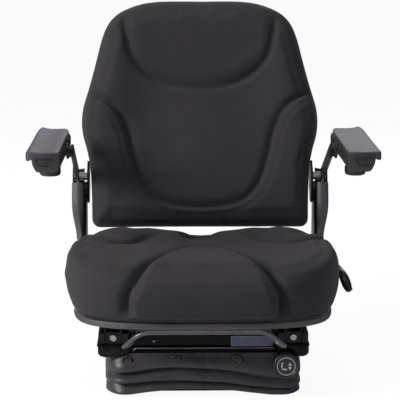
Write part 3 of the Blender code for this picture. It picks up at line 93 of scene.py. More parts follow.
def emptied_tree(owner: bpy.types.Material | bpy.types.World) -> Tree:
    """Return a material's or a world's node tree, emptied."""
    owner.use_nodes = True
    owner.node_tree.nodes.clear()
    return owner.node_tree


def add_node(tree: Tree, kind: str, values: dict | None = None, links: dict | None = None,
             **settings: object) -> Node:
    """Add a node to a tree.

    Args:
        tree: The shader or geometry tree.
        kind: The node's type name.
        values: Values for its inputs, by name or number.
        links: Output sockets that feed its inputs, by name or number.
        settings: The node's own settings.

    Returns:
        The new node.
    """
    node = tree.nodes.new(kind)
    for name, value in settings.items():
        setattr(node, name, value)
    for name, value in (values or {}).items():
        node.inputs[name].default_value = value
    for name, socket in (links or {}).items():
        tree.links.new(socket, node.inputs[name])
    return node


class Surface(Enum):
    """How a finish's surface was made."""

    KNITTED = "knitted"
    COATED_CLOTH = "coated cloth"
    GRAINED = "grained by its mould"
    PAINTED = "powder painted"
    GLOSS = "gloss painted"
    PLATED = "zinc plated"
    DRAWN = "drawn wire"
    PLAIN = "plain moulded"


@dataclass(frozen=True)
class Finish:
    """One real material with the way its surface was made.

    Its colour and shade are its lightest and darkest tones. Its grain is the size of its relief, and its
    depth how deep that is, both in metres.
    """

    name: str
    surface: Surface
    colour: str
    shade: str
    roughness: float
    grain: float
    depth: float
    metallic: float = 0.0
    sheen: float = 0.0
    sheen_tint: str = "#ffffff"
    coat: float = 0.0
    dust_and_top_highlight: float = 0.0
    specular: float = 0.5

    def material(self) -> bpy.types.Material:
        """Return this finish's material, made once."""
        found = bpy.data.materials.get(self.name)
        if found:
            return found
        material = bpy.data.materials.new(self.name)
        tree = emptied_tree(material)
        output = add_node(tree, "ShaderNodeOutputMaterial")
        shader = add_node(tree, "ShaderNodeBsdfPrincipled", {
            "Metallic": self.metallic, "Roughness": self.roughness, "Specular IOR Level": self.specular,
            "Sheen Weight": self.sheen, "Sheen Roughness": 0.45, "Sheen Tint": linear(self.sheen_tint),
            "Coat Weight": self.coat, "Coat Roughness": 0.12})
        tree.links.new(shader.outputs["BSDF"], output.inputs["Surface"])
        place = add_node(tree, "ShaderNodeTexCoord").outputs["Object"]
        self.paint(tree, shader, place)
        self.relief(tree, shader, place)
        return material

    def paint(self, tree: Tree, shader: Node, place: Socket) -> None:
        """Give the base colour its slow and fine variation, and the roughness its patches.

        Args:
            tree: The material's tree.
            shader: The Principled shader.
            place: The object coordinates.
        """
        slow = add_node(tree, "ShaderNodeTexNoise", {"Scale": 14.0, "Detail": 3.0, "Roughness": 0.55},
                        {"Vector": place})
        fine = add_node(tree, "ShaderNodeTexNoise", {"Scale": NOISE_PERIOD / self.grain, "Detail": 2.0},
                        {"Vector": place})
        both = add_node(tree, "ShaderNodeMix", {"Factor": 0.45},
                        {"A": slow.outputs["Fac"], "B": fine.outputs["Fac"]}, data_type="FLOAT")
        ramp = add_node(tree, "ShaderNodeValToRGB", links={"Fac": both.outputs["Result"]})
        for stop, position, tone in zip(ramp.color_ramp.elements, (0.36, 0.64), (self.shade, self.colour)):
            stop.position, stop.color = position, linear(tone)
        colour = ramp.outputs["Color"]
        # Upward faces are mixed towards a pale grey: dust and bloom on the cloth and rubber, and a painted
        # highlight of the top light on the foam skin.
        if self.dust_and_top_highlight:
            up = add_node(tree, "ShaderNodeNewGeometry").outputs["Normal"]
            height = add_node(tree, "ShaderNodeSeparateXYZ", links={"Vector": up}).outputs["Z"]
            lift = add_node(tree, "ShaderNodeMath", {1: self.dust_and_top_highlight}, {0: height}, operation="MULTIPLY",
                            use_clamp=True)
            patchy = add_node(tree, "ShaderNodeMath", links={0: lift.outputs[0], 1: slow.outputs["Fac"]},
                              operation="MULTIPLY")
            paled_top = add_node(tree, "ShaderNodeMix", {"B": linear("#8d8a88")},
                              {"Factor": patchy.outputs[0], "A": colour}, data_type="RGBA")
            colour = paled_top.outputs["Result"]
        tree.links.new(colour, shader.inputs["Base Color"])
        rough = add_node(tree, "ShaderNodeMapRange",
                         {"From Min": 0.3, "From Max": 0.7, "To Min": self.roughness - 0.06,
                          "To Max": self.roughness + 0.06}, {"Value": both.outputs["Result"]})
        tree.links.new(rough.outputs["Result"], shader.inputs["Roughness"])

    def relief(self, tree: Tree, shader: Node, place: Socket) -> None:
        """Give the surface the relief of its making, through a bump.

        Args:
            tree: The material's tree.
            shader: The Principled shader.
            place: The object coordinates.
        """
        def texture(kind: str, values: dict, vector: Socket = place, **settings: str) -> Node:
            return add_node(tree, f"ShaderNodeTex{kind}", values, {"Vector": vector}, **settings)

        waves, cells = WAVE_PERIOD / self.grain, 1.0 / self.grain
        if self.surface is Surface.KNITTED:
            wales = texture("Wave", {"Scale": waves, "Distortion": 0.6, "Detail": 1.0, "Detail Scale": 2.0})
            leaning = add_node(tree, "ShaderNodeMapping", {"Rotation": (math.radians(45.0), 0.0, 0.0)},
                               {"Vector": place})
            courses = texture("Wave", {"Scale": waves, "Distortion": 0.8, "Detail": 1.0},
                              leaning.outputs["Vector"], bands_direction="Z")
            stitches = add_node(tree, "ShaderNodeMath",
                                links={0: wales.outputs["Fac"], 1: courses.outputs["Fac"]},
                                operation="MULTIPLY")
            source = stitches.outputs[0]
        elif self.surface is Surface.COATED_CLOTH:
            source = texture("Voronoi", {"Scale": cells, "Randomness": 0.6}).outputs["Distance"]
        elif self.surface is Surface.GRAINED:
            pebbles = texture("Voronoi", {"Scale": cells, "Smoothness": 0.6}, feature="SMOOTH_F1")
            source = pebbles.outputs["Distance"]
        elif self.surface is Surface.DRAWN:
            lines = texture("Wave", {"Scale": waves, "Distortion": 3.0, "Detail": 3.0}, bands_direction="Z")
            source = lines.outputs["Fac"]
        else:
            peel = texture("Noise", {"Scale": NOISE_PERIOD / self.grain, "Detail": 4.0, "Roughness": 0.6})
            source = peel.outputs["Fac"]
        bump = add_node(tree, "ShaderNodeBump", {"Strength": 1.0, "Distance": self.depth}, {"Height": source})
        tree.links.new(bump.outputs["Normal"], shader.inputs["Normal"])


# Knitted polyester on foam: matt, with a faint violet-grey bloom where it turns away from the eye. The wales
# are about 1 mm apart in the real cloth and are drawn at 2.2 mm so that they show.
KNITTED_POLYESTER = Finish(
    "knitted_polyester_cloth", Surface.KNITTED, "#282729", "#1f1e21", 0.86, 0.0022, 0.00040,
    sheen=0.12, sheen_tint="#b8b4c4", dust_and_top_highlight=0.04)
# Polyurethane-coated cloth of the folded boot: a soft satin that catches a light line along each fold.
COATED_POLYESTER = Finish(
    "coated_polyester_boot_cloth", Surface.COATED_CLOTH, "#39383b", "#2d2c2f", 0.42, 0.0012, 0.00012,
    sheen=0.05, sheen_tint="#c8c6d0", dust_and_top_highlight=0.10)
# Integral-skin polyurethane foam: a smooth, slightly leathery satin, with a painted highlight that makes it
# paler where it faces up to the light.
FOAM_SKIN = Finish(
    "integral_skin_polyurethane", Surface.GRAINED, "#403d49", "#36333e", 0.48, 0.0018, 0.00022, dust_and_top_highlight=0.10)
# Polypropylene grained by a spark-eroded mould: dark, matt, with a fine leather-like pebble.
GRAINED_POLYPROPYLENE = Finish(
    "grained_polypropylene", Surface.GRAINED, "#333135", "#28272a", 0.52, 0.0011, 0.00018)
# Ribbed polypropylene of the pan's rim: the same plastic, but greyed and rubbed by legs.
RIM_POLYPROPYLENE = Finish(
    "ribbed_polypropylene_rim", Surface.GRAINED, "#58575a", "#4b4a4d", 0.50, 0.0011, 0.00012)
# Smooth polypropylene of the hinge covers: a mid grey that shows soft upright streaks of light.
COVER_POLYPROPYLENE = Finish(
    "smooth_polypropylene_cover", Surface.GRAINED, "#4e4d50", "#454446", 0.44, 0.0014, 0.00008)
# Polyamide from a polished mould: a smoother black with a tight highlight.
SMOOTH_POLYAMIDE = Finish(
    "smooth_moulded_polyamide", Surface.PLAIN, "#232226", "#19191b", 0.38, 0.0020, 0.00010)
# Polyamide from a polished mould, wiped with grease: nearly black with small hard glints.
GLOSS_POLYAMIDE = Finish(
    "greased_glossy_polyamide", Surface.PLAIN, "#0a0a0b", "#050506", 0.26, 0.0030, 0.00008, specular=0.22)
# Powder-painted steel sheet: black with a fine orange peel.
POWDER_PAINTED_STEEL = Finish(
    "powder_painted_steel", Surface.PAINTED, "#0c0b0d", "#070708", 0.36, 0.0016, 0.00012, specular=0.30)
# Gloss-painted steel: a deep black that mirrors what stands before it.
GLOSS_PAINTED_STEEL = Finish(
    "gloss_painted_steel", Surface.GLOSS, "#050408", "#030305", 0.20, 0.0060, 0.00002, specular=0.12)
# Painted steel rod of the release bar: a satin grey that is a painted highlight of the light along it, with a
# thin bright line along it.
BAR_STEEL_WITH_PAINTED_HIGHLIGHT = Finish(
    "bar_steel_with_painted_highlight", Surface.PAINTED, "#5c5b60", "#47464a", 0.30, 0.0020, 0.00006,
    metallic=0.35, coat=0.20)
# Zinc-plated steel of bolts and pins: a grey-silver with faint cloudy patches.
ZINC_PLATED_STEEL = Finish(
    "zinc_plated_steel", Surface.PLATED, "#b9b8b4", "#8f8e8a", 0.34, 0.0012, 0.00006, metallic=1.0)
# A soft silver line: the silver edge of the label, and a painted highlight along the plate's pressed ridge
# where it catches the light.
SILVER_EDGE_AND_RIDGE_HIGHLIGHT = Finish(
    "silver_edge_and_ridge_highlight", Surface.PLATED, "#9c9ca2", "#77777d", 0.36, 0.0012, 0.00004, metallic=0.7)
# Oil-tempered spring wire: a dark blue-grey metal with drawing lines.
SPRING_WIRE_STEEL = Finish(
    "oil_tempered_spring_wire", Surface.DRAWN, "#5a5a5e", "#3c3c40", 0.40, 0.0012, 0.00005, metallic=1.0)
# Cast polyamide of the rollers: a waxy off-white.
CAST_POLYAMIDE = Finish(
    "cast_polyamide_rollers", Surface.PLAIN, "#dcd9cf", "#c9c5b8", 0.48, 0.0020, 0.00008)
# Vulcanised rubber: dull black with a dry bloom.
VULCANISED_RUBBER = Finish(
    "vulcanised_rubber", Surface.PAINTED, "#222124", "#18181a", 0.70, 0.0014, 0.00015, dust_and_top_highlight=0.15)
# Printed polyester film of the rating plate, left blank: a slate blue.
PRINTED_FILM = Finish(
    "plain_polyester_film", Surface.PLAIN, "#55617a", "#4a556c", 0.42, 0.0030, 0.00002)
# Pad-printed ink on the knob: a dull light grey.
PAD_PRINT_INK = Finish("pad_print_ink", Surface.PLAIN, "#c3c2c0", "#a9a8a8", 0.60, 0.0010, 0.00004)
# Bonded polyester sewing thread: a slightly lighter charcoal than the cloth that it holds.
SEWING_THREAD = Finish(
    "bonded_polyester_thread", Surface.PAINTED, "#4c4b50", "#3a393e", 0.60, 0.0006, 0.00006)

SLOT_FINISHES = {
    "cloth": KNITTED_POLYESTER, "boot": VULCANISED_RUBBER, "plastic": GRAINED_POLYPROPYLENE,
    "rest_skin": FOAM_SKIN, "gloss_plate": GLOSS_PAINTED_STEEL, "roller_nylon": CAST_POLYAMIDE,
    "zinc": ZINC_PLATED_STEEL, "spring_steel": SPRING_WIRE_STEEL, "black_steel": POWDER_PAINTED_STEEL,
}


def put_in_scene(name: str, data: bpy.types.ID) -> Piece:
    """Put a new object with the given mesh, lamp or camera in the scene."""
    made = bpy.data.objects.new(name, data)
    bpy.context.scene.collection.objects.link(made)
    return made


def circle(count: int, radius: float = 1.0) -> list[Flat]:
    """Return evenly spaced points round a circle about zero."""
    return [(radius * math.cos(math.tau * i / count), radius * math.sin(math.tau * i / count))
            for i in range(count)]


def powered(value: float, power: float) -> float:
    """Return a value raised to a power with its sign kept, for a rounded square's sides."""
    return math.copysign(abs(value) ** power, value)


def smoothstep(value: np.ndarray | float, low: float, high: float) -> np.ndarray | float:
    """Return a smooth share from 0 at low to 1 at high."""
    share = np.clip((value - low) / (high - low), 0.0, 1.0)
    return share * share * (3 - 2 * share)


def bell(value: np.ndarray | float, width: float) -> np.ndarray | float:
    """Return a bell curve that is 1 at zero."""
    return np.exp(-(value / width) ** 2)


def piece_from(name: str, points: Iterable[Sequence[float]], faces: Iterable[Sequence[int]],
               finish: Finish) -> Piece:
    """Make a piece of the scene from points and faces, with its faces outward and its shading smooth.

    Args:
        name: The piece's name.
        points: Its points, in metres, in the CAD's frame.
        faces: Its faces as point numbers.
        finish: The material that it is made of.

    Returns:
        The piece's object, at the origin.
    """
    mesh = bpy.data.meshes.new(name)
    mesh.from_pydata([tuple(map(float, p)) for p in points], [], [tuple(f) for f in faces])
    mesh.validate()
    mesh.materials.append(finish.material())
    piece = put_in_scene(name, mesh)
    face_outward(piece)
    mesh.shade_smooth()
    return piece


def face_outward(piece: Piece) -> None:
    """Merge a mesh's doubled points and turn its faces outward."""
    work = bmesh.new()
    work.from_mesh(piece.data)
    bmesh.ops.remove_doubles(work, verts=work.verts, dist=1e-6)
    bmesh.ops.recalc_face_normals(work, faces=work.faces)
    work.to_mesh(piece.data)
    work.free()


def loft(rings: Sequence[Sequence[Sequence[float]]], closed_ends: bool = True,
         joined: bool = False) -> Skin:
    """Skin a row of rings that have the same number of points.

    Args:
        rings: The rings, each a list of points.
        closed_ends: Whether the first and last rings get a face.
        joined: Whether the last ring joins the first one.

    Returns:
        The points and the faces.
    """
    count = len(rings[0])
    points = [point for ring in rings for point in ring]
    faces = []
    for row in range(len(rings) if joined else len(rings) - 1):
        after = (row + 1) % len(rings)
        for i in range(count):
            j = (i + 1) % count
            faces.append((row * count + i, row * count + j, after * count + j, after * count + i))
    if closed_ends and not joined:
        faces.append(tuple(reversed(range(count))))
        faces.append(tuple(range((len(rings) - 1) * count, len(rings) * count)))
    return points, faces


def evaluated_mesh(piece: Piece) -> bpy.types.Mesh:
    """Return a new mesh of a piece as its modifiers show it."""
    return bpy.data.meshes.new_from_object(piece.evaluated_get(bpy.context.evaluated_depsgraph_get()))


def keep_mesh(piece: Piece) -> None:
    """Turn a piece's modifiers into its mesh, and leave none on it."""
    bpy.context.view_layer.update()
    result = evaluated_mesh(piece)
    old = piece.data
    piece.modifiers.clear()
    piece.data = result
    result.name = piece.name
    result.shade_smooth()
    if old.users == 0:
        bpy.data.meshes.remove(old)


def coordinates(mesh: bpy.types.Mesh) -> np.ndarray:
    """Return a mesh's points as rows."""
    flat = np.empty(len(mesh.vertices) * 3)
    mesh.vertices.foreach_get("co", flat)
    return flat.reshape(-1, 3)


def normals(mesh: bpy.types.Mesh) -> np.ndarray:
    """Return a mesh's point normals as rows."""
    flat = np.empty(len(mesh.vertices) * 3, np.float32)
    mesh.vertex_normals.foreach_get("vector", flat)
    return flat.reshape(-1, 3).astype(float)


def put_back(piece: Piece, points: np.ndarray) -> None:
    """Write moved points to a mesh."""
    piece.data.vertices.foreach_set("co", points.reshape(-1))
    piece.data.update()


def smooth_shape(piece: Piece, times: int, share: float = 0.5) -> None:
    """Ease a mesh's points towards their neighbours.

    Args:
        piece: The piece.
        times: How often.
        share: How far each time.
    """
    ease = piece.modifiers.new("easing", "SMOOTH")
    ease.factor, ease.iterations = share, times
    keep_mesh(piece)


def remesh(piece: Piece, size: float) -> None:
    """Give a closed piece an even mesh of the given size."""
    even = piece.modifiers.new("even_mesh", "REMESH")
    even.mode, even.voxel_size, even.use_smooth_shade = "VOXEL", size, True
    keep_mesh(piece)


def subdivide(piece: Piece, levels: int = 1) -> None:
    """Subdivide a piece smoothly and keep the result."""
    piece.modifiers.new("finer", "SUBSURF").levels = levels
    keep_mesh(piece)


def inflate(piece: Piece, cap: float, pressure: float = 4.0) -> None:
    """Swell a closed pad from inside as sewn cloth over foam does, and keep the shape.

    The cloth's own tension would draw the pad in, so almost all of each inward move is left out.

    Args:
        piece: The closed, evenly meshed pad.
        cap: The furthest that a point may move, in metres.
        pressure: The pressure of the cloth simulation.
    """
    rest, facing = coordinates(piece.data), normals(piece.data)
    cloth = piece.modifiers.new("inflation", "CLOTH")
    for name, value in INFLATION.items():
        setattr(cloth.settings, name, value)
    cloth.settings.uniform_pressure_force = pressure
    cloth.settings.effector_weights.gravity = 0.0
    cloth.point_cache.frame_start, cloth.point_cache.frame_end = 1, INFLATION_FRAMES
    for number in range(1, INFLATION_FRAMES + 1):
        bpy.context.scene.frame_set(number)
    swollen = evaluated_mesh(piece)
    move = coordinates(swollen) - rest
    move -= move.mean(axis=0)
    outward = (move * facing).sum(axis=1, keepdims=True)
    move -= facing * np.minimum(outward, 0.0) * INWARD_LEFT_OUT
    length = np.linalg.norm(move, axis=1, keepdims=True)
    move *= np.minimum(1.0, cap / np.maximum(length, 1e-9))
    piece.modifiers.clear()
    bpy.data.meshes.remove(swollen)
    put_back(piece, rest + move)
    bpy.context.scene.frame_set(1)
    LOG.info("%s swelled by up to %.1f mm", piece.name, float(length.max()) * 1000)


@dataclass(frozen=True)
class SeamLine:
    """A seam or crease as a smooth line on a flat pattern of the pad."""

    corners: tuple[Flat, ...]
    steps: int = 10

    def route(self) -> np.ndarray:
        """Return the line's points, smooth through its corners."""
        corners = np.array(self.corners)
        ends = np.vstack([2 * corners[0] - corners[1], corners, 2 * corners[-1] - corners[-2]])
        rows = []
        for a, b, c, d in zip(ends, ends[1:], ends[2:], ends[3:]):
            for step in range(self.steps):
                t = step / self.steps
                rows.append(0.5 * (2 * b + (c - a) * t + (2 * a - 5 * b + 4 * c - d) * t * t
                                   + (3 * b - a - 3 * c + d) * t ** 3))
        rows.append(corners[-1])
        return np.array(rows)

    def measure(self, across: np.ndarray, along: np.ndarray) -> tuple[np.ndarray, np.ndarray]:
        """Measure points against the line.

        Args:
            across: The points' first coordinate.
            along: Their second coordinate.

        Returns:
            The signed distance, positive on the right of the line's way, and the share of the line's length.
        """
        route = self.route()
        lengths = np.linalg.norm(np.diff(route, axis=0), axis=1)
        starts = np.concatenate([[0.0], np.cumsum(lengths)[:-1]])
        best = np.full(len(across), 1e9)
        side = np.zeros(len(across))
        share = np.zeros(len(across))
        for begin, end, length, start in zip(route, route[1:], lengths, starts):
            way = (end - begin) / length
            dx, dy = across - begin[0], along - begin[1]
            t = np.clip(dx * way[0] + dy * way[1], 0.0, length)
            gap = np.hypot(dx - t * way[0], dy - t * way[1])
            near = gap < best
            best = np.where(near, gap, best)
            side = np.where(near, np.sign(dx * way[1] - dy * way[0]), side)
            share = np.where(near, (start + t) / lengths.sum(), share)
        return best * np.where(side == 0, 1.0, side), share


def mirrored_line(half: Sequence[Flat]) -> tuple[Flat, ...]:
    """Return a line from its left half, which ends in the middle."""
    left = [(-x, y) for x, y in half]
    return tuple(left + [(x, y) for x, y in reversed(half) if x > 1e-6])


def rounded_rectangle(half: float, front: float, rear: float, radius: float, count: int = 240) -> list[Flat]:
    """Return evenly spaced points round a rounded rectangle in plan.

    Args:
        half: Half its width.
        front: Its front, the lower y.
        rear: Its rear.
        radius: The radius of its corners.
        count: The number of points.

    Returns:
        The points, anticlockwise from the middle of the front.
    """
    width, depth = 2 * (half - radius), rear - front - 2 * radius
    turn = radius * math.pi / 2
    side, low, high = half - radius, front + radius, rear - radius
    # Each leg is its length, its start or its corner's centre, its angle, and whether it turns.
    legs = ((width / 2, (0.0, front), 0.0, False), (turn, (side, low), -90.0, True),
            (depth, (half, low), 90.0, False), (turn, (side, high), 0.0, True),
            (width, (side, rear), 180.0, False), (turn, (-side, high), 90.0, True),
            (depth, (-half, high), 270.0, False), (turn, (-side, low), 180.0, True),
            (width / 2, (-side, front), 0.0, False))
    total = sum(leg[0] for leg in legs)
    points = []
    for index in range(count):
        reach = total * index / count
        for length, (x, y), angle, turns in legs:
            if reach <= length:
                break
            reach -= length
        way = math.radians(angle + 90.0 * reach / turn if turns else angle)
        far = radius if turns else reach
        points.append((x + far * math.cos(way), y + far * math.sin(way)))
    return points


@dataclass
class Studio:
    """The pale floor, the soft lights and the camera at the photograph's view."""

    camera_at: Point = (-0.061, -3.2447, 0.9264)
    faces: Point = (-0.003, 0.0, 0.325)
    lit: Point = (0.0, 0.0, 0.32)
    lens: float = 160.2
    sensor: float = 36.0
    surround: float = 0.17
    floor_seen: float = 0.88
    floor_glow: float = 1.06
    floor_reach: float = 12.0

    def build(self) -> None:
        """Set up the camera, lamps, world and floor."""
        self.camera()
        for name, place, size, power, colour in (
                ("key_softbox", (-2.7, -1.5, 1.7), 1.3, 108.0, "#fffdf8"),
                ("fill_softbox", (2.2, -2.2, 1.2), 2.2, 7.0, "#cfc6ff"),
                ("top_softbox", (0.0, -0.6, 2.8), 1.8, 18.0, "#ffffff"),
                ("rear_softbox", (0.3, 2.6, 1.6), 1.8, 14.0, "#ffffff")):
            self.lamp(name, place, size, power, colour)
        self.world()
        self.floor()
        LOG.info("studio set up")

    def place(self, name: str, data: bpy.types.ID, at: Point, towards: Point) -> Piece:
        """Put a camera or a lamp in the scene and turn it towards a place."""
        placed = put_in_scene(name, data)
        placed.location = at
        placed.rotation_euler = (Vector(towards) - Vector(at)).to_track_quat("-Z", "Y").to_euler()
        return placed

    def camera(self) -> None:
        """Make the camera and set it as the scene's own."""
        data = bpy.data.cameras.new("studio_camera")
        data.lens, data.sensor_width, data.sensor_fit = self.lens, self.sensor, "HORIZONTAL"
        data.clip_end = 60.0
        bpy.context.scene.camera = self.place("studio_camera", data, self.camera_at, self.faces)

    def lamp(self, name: str, place: Point, size: float, power: float, colour: str) -> None:
        """Add a square soft lamp that faces the seat.

        Args:
            name: The lamp's name.
            place: Where it stands.
            size: Its edge.
            power: Its power in watts.
            colour: Its colour.
        """
        data = bpy.data.lights.new(name, "AREA")
        data.shape, data.size, data.energy = "SQUARE", size, power
        data.color = linear(colour)[:3]
        self.place(name, data, place, self.lit)

    def world(self) -> None:
        """Light the surroundings evenly, and show them white to the camera."""
        world = bpy.data.worlds.new("studio_world")
        tree = emptied_tree(world)
        path = add_node(tree, "ShaderNodeLightPath").outputs
        shown = add_node(tree, "ShaderNodeMath",
                         links={0: path["Is Camera Ray"], 1: path["Is Transmission Ray"]},
                         operation="MAXIMUM").outputs[0]
        strength = add_node(tree, "ShaderNodeMapRange", {"To Min": self.surround, "To Max": 1.0},
                            {"Value": shown})
        tint = add_node(tree, "ShaderNodeMix", {"A": linear("#efeaff"), "B": linear("#ffffff")},
                        {"Factor": shown}, data_type="RGBA")
        light = add_node(tree, "ShaderNodeBackground",
                         links={"Color": tint.outputs["Result"], "Strength": strength.outputs["Result"]})
        output = add_node(tree, "ShaderNodeOutputWorld")
        tree.links.new(light.outputs["Background"], output.inputs["Surface"])
        bpy.context.scene.world = world
        bpy.context.scene.view_settings.view_transform = "Standard"

    def floor(self) -> None:
        """Lay the pale floor, white to the camera but for the seat's soft shadow."""
        mesh = bpy.data.meshes.new("studio_floor")
        reach = self.floor_reach
        corners = [(-reach, -reach, 0), (reach, -reach, 0), (reach, reach, 0), (-reach, reach, 0)]
        mesh.from_pydata(corners, [], [(0, 1, 2, 3)])
        material = bpy.data.materials.new("pale_floor")
        tree = emptied_tree(material)
        path = add_node(tree, "ShaderNodeLightPath")
        seen = add_node(tree, "ShaderNodeMath", {1: self.floor_seen}, {0: path.outputs["Is Camera Ray"]},
                        operation="MULTIPLY")
        matt = add_node(tree, "ShaderNodeBsdfDiffuse", {"Color": linear("#f2f2f2")})
        white = add_node(tree, "ShaderNodeEmission",
                         {"Color": linear("#ffffff"), "Strength": self.floor_glow})
        mixed = add_node(tree, "ShaderNodeMixShader",
                         links={"Fac": seen.outputs[0], 1: matt.outputs[0], 2: white.outputs[0]})
        output = add_node(tree, "ShaderNodeOutputMaterial")
        tree.links.new(mixed.outputs[0], output.inputs["Surface"])
        mesh.materials.append(material)
        put_in_scene("studio_floor", mesh)


@dataclass
class PaddedPiece:
    """A padded piece: a closed shell, evened, swelled, made finer and then sewn in."""

    name: str
    node: str
    body: str
    voxel: float = 0.005
    cap: float = 0.005
    fill: float = 0.85

    def rings(self) -> list[list[Point]]:
        """Return the closed shell's rings."""
        raise NotImplementedError

    def sew(self, piece: Piece) -> None:
        """Press the seams and raise the forms of the pad."""
        raise NotImplementedError

    def build(self) -> None:
        """Build the pad."""
        piece = piece_from(self.name, *loft(self.rings()), KNITTED_POLYESTER)
        remesh(piece, self.voxel)
        smooth_shape(piece, 3)
        inflate(piece, self.cap)
        smooth_shape(piece, 2)
        subdivide(piece)
        self.sew(piece)
        piece.data.materials.clear()
        piece.data.materials.append(KNITTED_POLYESTER.material())
        settle(piece, self.body, "cloth", self.node)


@dataclass
class SeatCushion(PaddedPiece):
    """The seat cushion: a front arch, side bolsters, two rear lobes and a hem over the pan's rim."""

    half_front: float = 0.2240
    half_middle: float = 0.2315
    half_rear: float = 0.1960
    front: float = -0.243
    rear: float = 0.122
    overhang: float = 0.0180
    widest_z: float = 0.207
    hollow_z: float = 0.2375
    squareness: float = 4.2
    corner_tuck: float = 0.60
    side_roll: float = 0.023
    front_roll: float = 0.066
    innermost: float = 0.068
    gather: float = 0.0062
    gather_depth: float = 0.00035
    ridge: tuple[Flat, ...] = (
        (0.0, 0.2322), (0.022, 0.2322), (0.028, 0.2352), (0.035, 0.2412), (0.052, 0.2440), (0.070, 0.2452),
        (0.100, 0.2468), (0.125, 0.2488), (0.142, 0.2522), (0.158, 0.2542), (0.175, 0.2538), (0.195, 0.2505),
        (0.220, 0.2440))
    notch: tuple[Flat, ...] = (
        (0.0, 0.2318), (0.0200, 0.2322), (0.0290, 0.2368), (0.0380, 0.2412), (0.0500, 0.2600))
    arch: SeamLine = SeamLine(mirrored_line([
        (0.126, -0.140), (0.1305, -0.118), (0.1335, -0.100), (0.1325, -0.088), (0.1285, -0.078),
        (0.120, -0.066), (0.110, -0.050), (0.101, -0.030), (0.092, -0.002), (0.080, 0.036), (0.064, 0.080),
        (0.045, 0.115), (0.023, 0.137), (0.0, 0.1445)]))
    crease: SeamLine = SeamLine((
        (0.250, 0.032), (0.232, 0.012), (0.210, -0.004), (0.188, -0.015), (0.170, -0.018), (0.150, -0.013),
        (0.136, -0.005), (0.125, 0.007), (0.117, 0.020), (0.108, 0.034), (0.094, 0.048), (0.072, 0.060)))
    roll_y: float = -0.170
    roll_z: float = 0.180
    roll: float = 0.064

    def outline(self, grow: float, count: int = 144) -> list[Flat]:
        """Return the plan outline grown by a distance."""
        points = []
        power = 2 / self.squareness
        for across, along in circle(count):
            x, share = powered(across, power), powered(along, power)
            y = (self.front + self.rear) / 2 + share * (self.rear - self.front) / 2
            target = self.half_front if share < 0 else self.half_rear
            half = self.half_middle + (target - self.half_middle) * share ** 2
            tuck = self.corner_tuck * smoothstep(-y, 0.08, 0.20) * smoothstep(abs(x) * half, 0.10, 0.19)
            way = Vector((x, share)).normalized() * (grow * (1 - tuck) if grow > 0 else grow)
            points.append((x * half + way.x, y + way.y))
        return points

    def top(self, x: float, y: float) -> float:
        """Return the height of the cushion's upper side."""
        across = min(1.0, abs(x) / (self.half_middle + self.overhang))
        hollow = self.hollow_z + 0.0210 * across ** 2.8
        lift = float(np.interp(abs(x), *zip(*self.ridge))) - hollow
        rearness = float(smoothstep(y, 0.010, 0.072)) - 0.25 * float(smoothstep(y, 0.100, 0.125))
        return hollow + lift * rearness

    def edge(self, inset: float) -> list[Point]:
        """Return the ring at a distance inside the widest line, on the rounding between side and top."""
        ring = []
        for x, y in self.outline(self.overhang - inset):
            ahead = float(smoothstep(-y, 0.10, 0.22))
            rear = float(smoothstep(y, 0.02, 0.10))
            roll = self.side_roll + (self.front_roll - self.side_roll) * ahead - 0.008 * rear
            share = min(1.0, inset / roll)
            rise = (1 - (1 - share) ** 2.5) ** (1 / 2.5)
            ring.append((x, y, self.widest_z + (self.top(x, y) - self.widest_z) * rise))
        return ring

    def rings(self) -> list[list[Point]]:
        """Return the cushion's shell, from its flat underside round its sides to its top."""
        skirt = ((-0.060, 0.1398), (-0.034, 0.1408), (-0.0185, 0.1448), (-0.0055, 0.1575), (0.0032, 0.1536),
                 (self.overhang * 0.46, 0.1610), (self.overhang * 0.80, 0.176), (self.overhang * 0.97, 0.194))
        insets = (0.0, 0.0012, 0.004, 0.008, 0.014, 0.021, 0.029, 0.038, 0.048, 0.058, self.innermost)
        rings = [[(x, y, z) for x, y in self.outline(grow)] for grow, z in skirt]
        rings += [self.edge(inset) for inset in insets]
        middle = (self.front + self.rear) / 2
        inner = self.outline(self.overhang - self.innermost)
        for share in (0.93, 0.86, 0.78, 0.70, 0.60, 0.50, 0.40, 0.28, 0.16, 0.06):
            ring = [(x * share, middle + (y - middle) * share) for x, y in inner]
            rings.append([(x, y, self.top(x, y)) for x, y in ring])
        return rings

    def unrolled(self, points: np.ndarray) -> np.ndarray:
        """Return how far each point lies along the cloth from the front roll, forward negative."""
        y, z = points[:, 1], points[:, 2]
        angle = np.clip(np.arctan2(self.roll_y - y, z - self.roll_z), 0.0, math.pi / 2)
        below = np.where(z < self.roll_z, self.roll_z - z, 0.0)
        return np.where(y > self.roll_y, y - self.roll_y, -self.roll * angle - below)

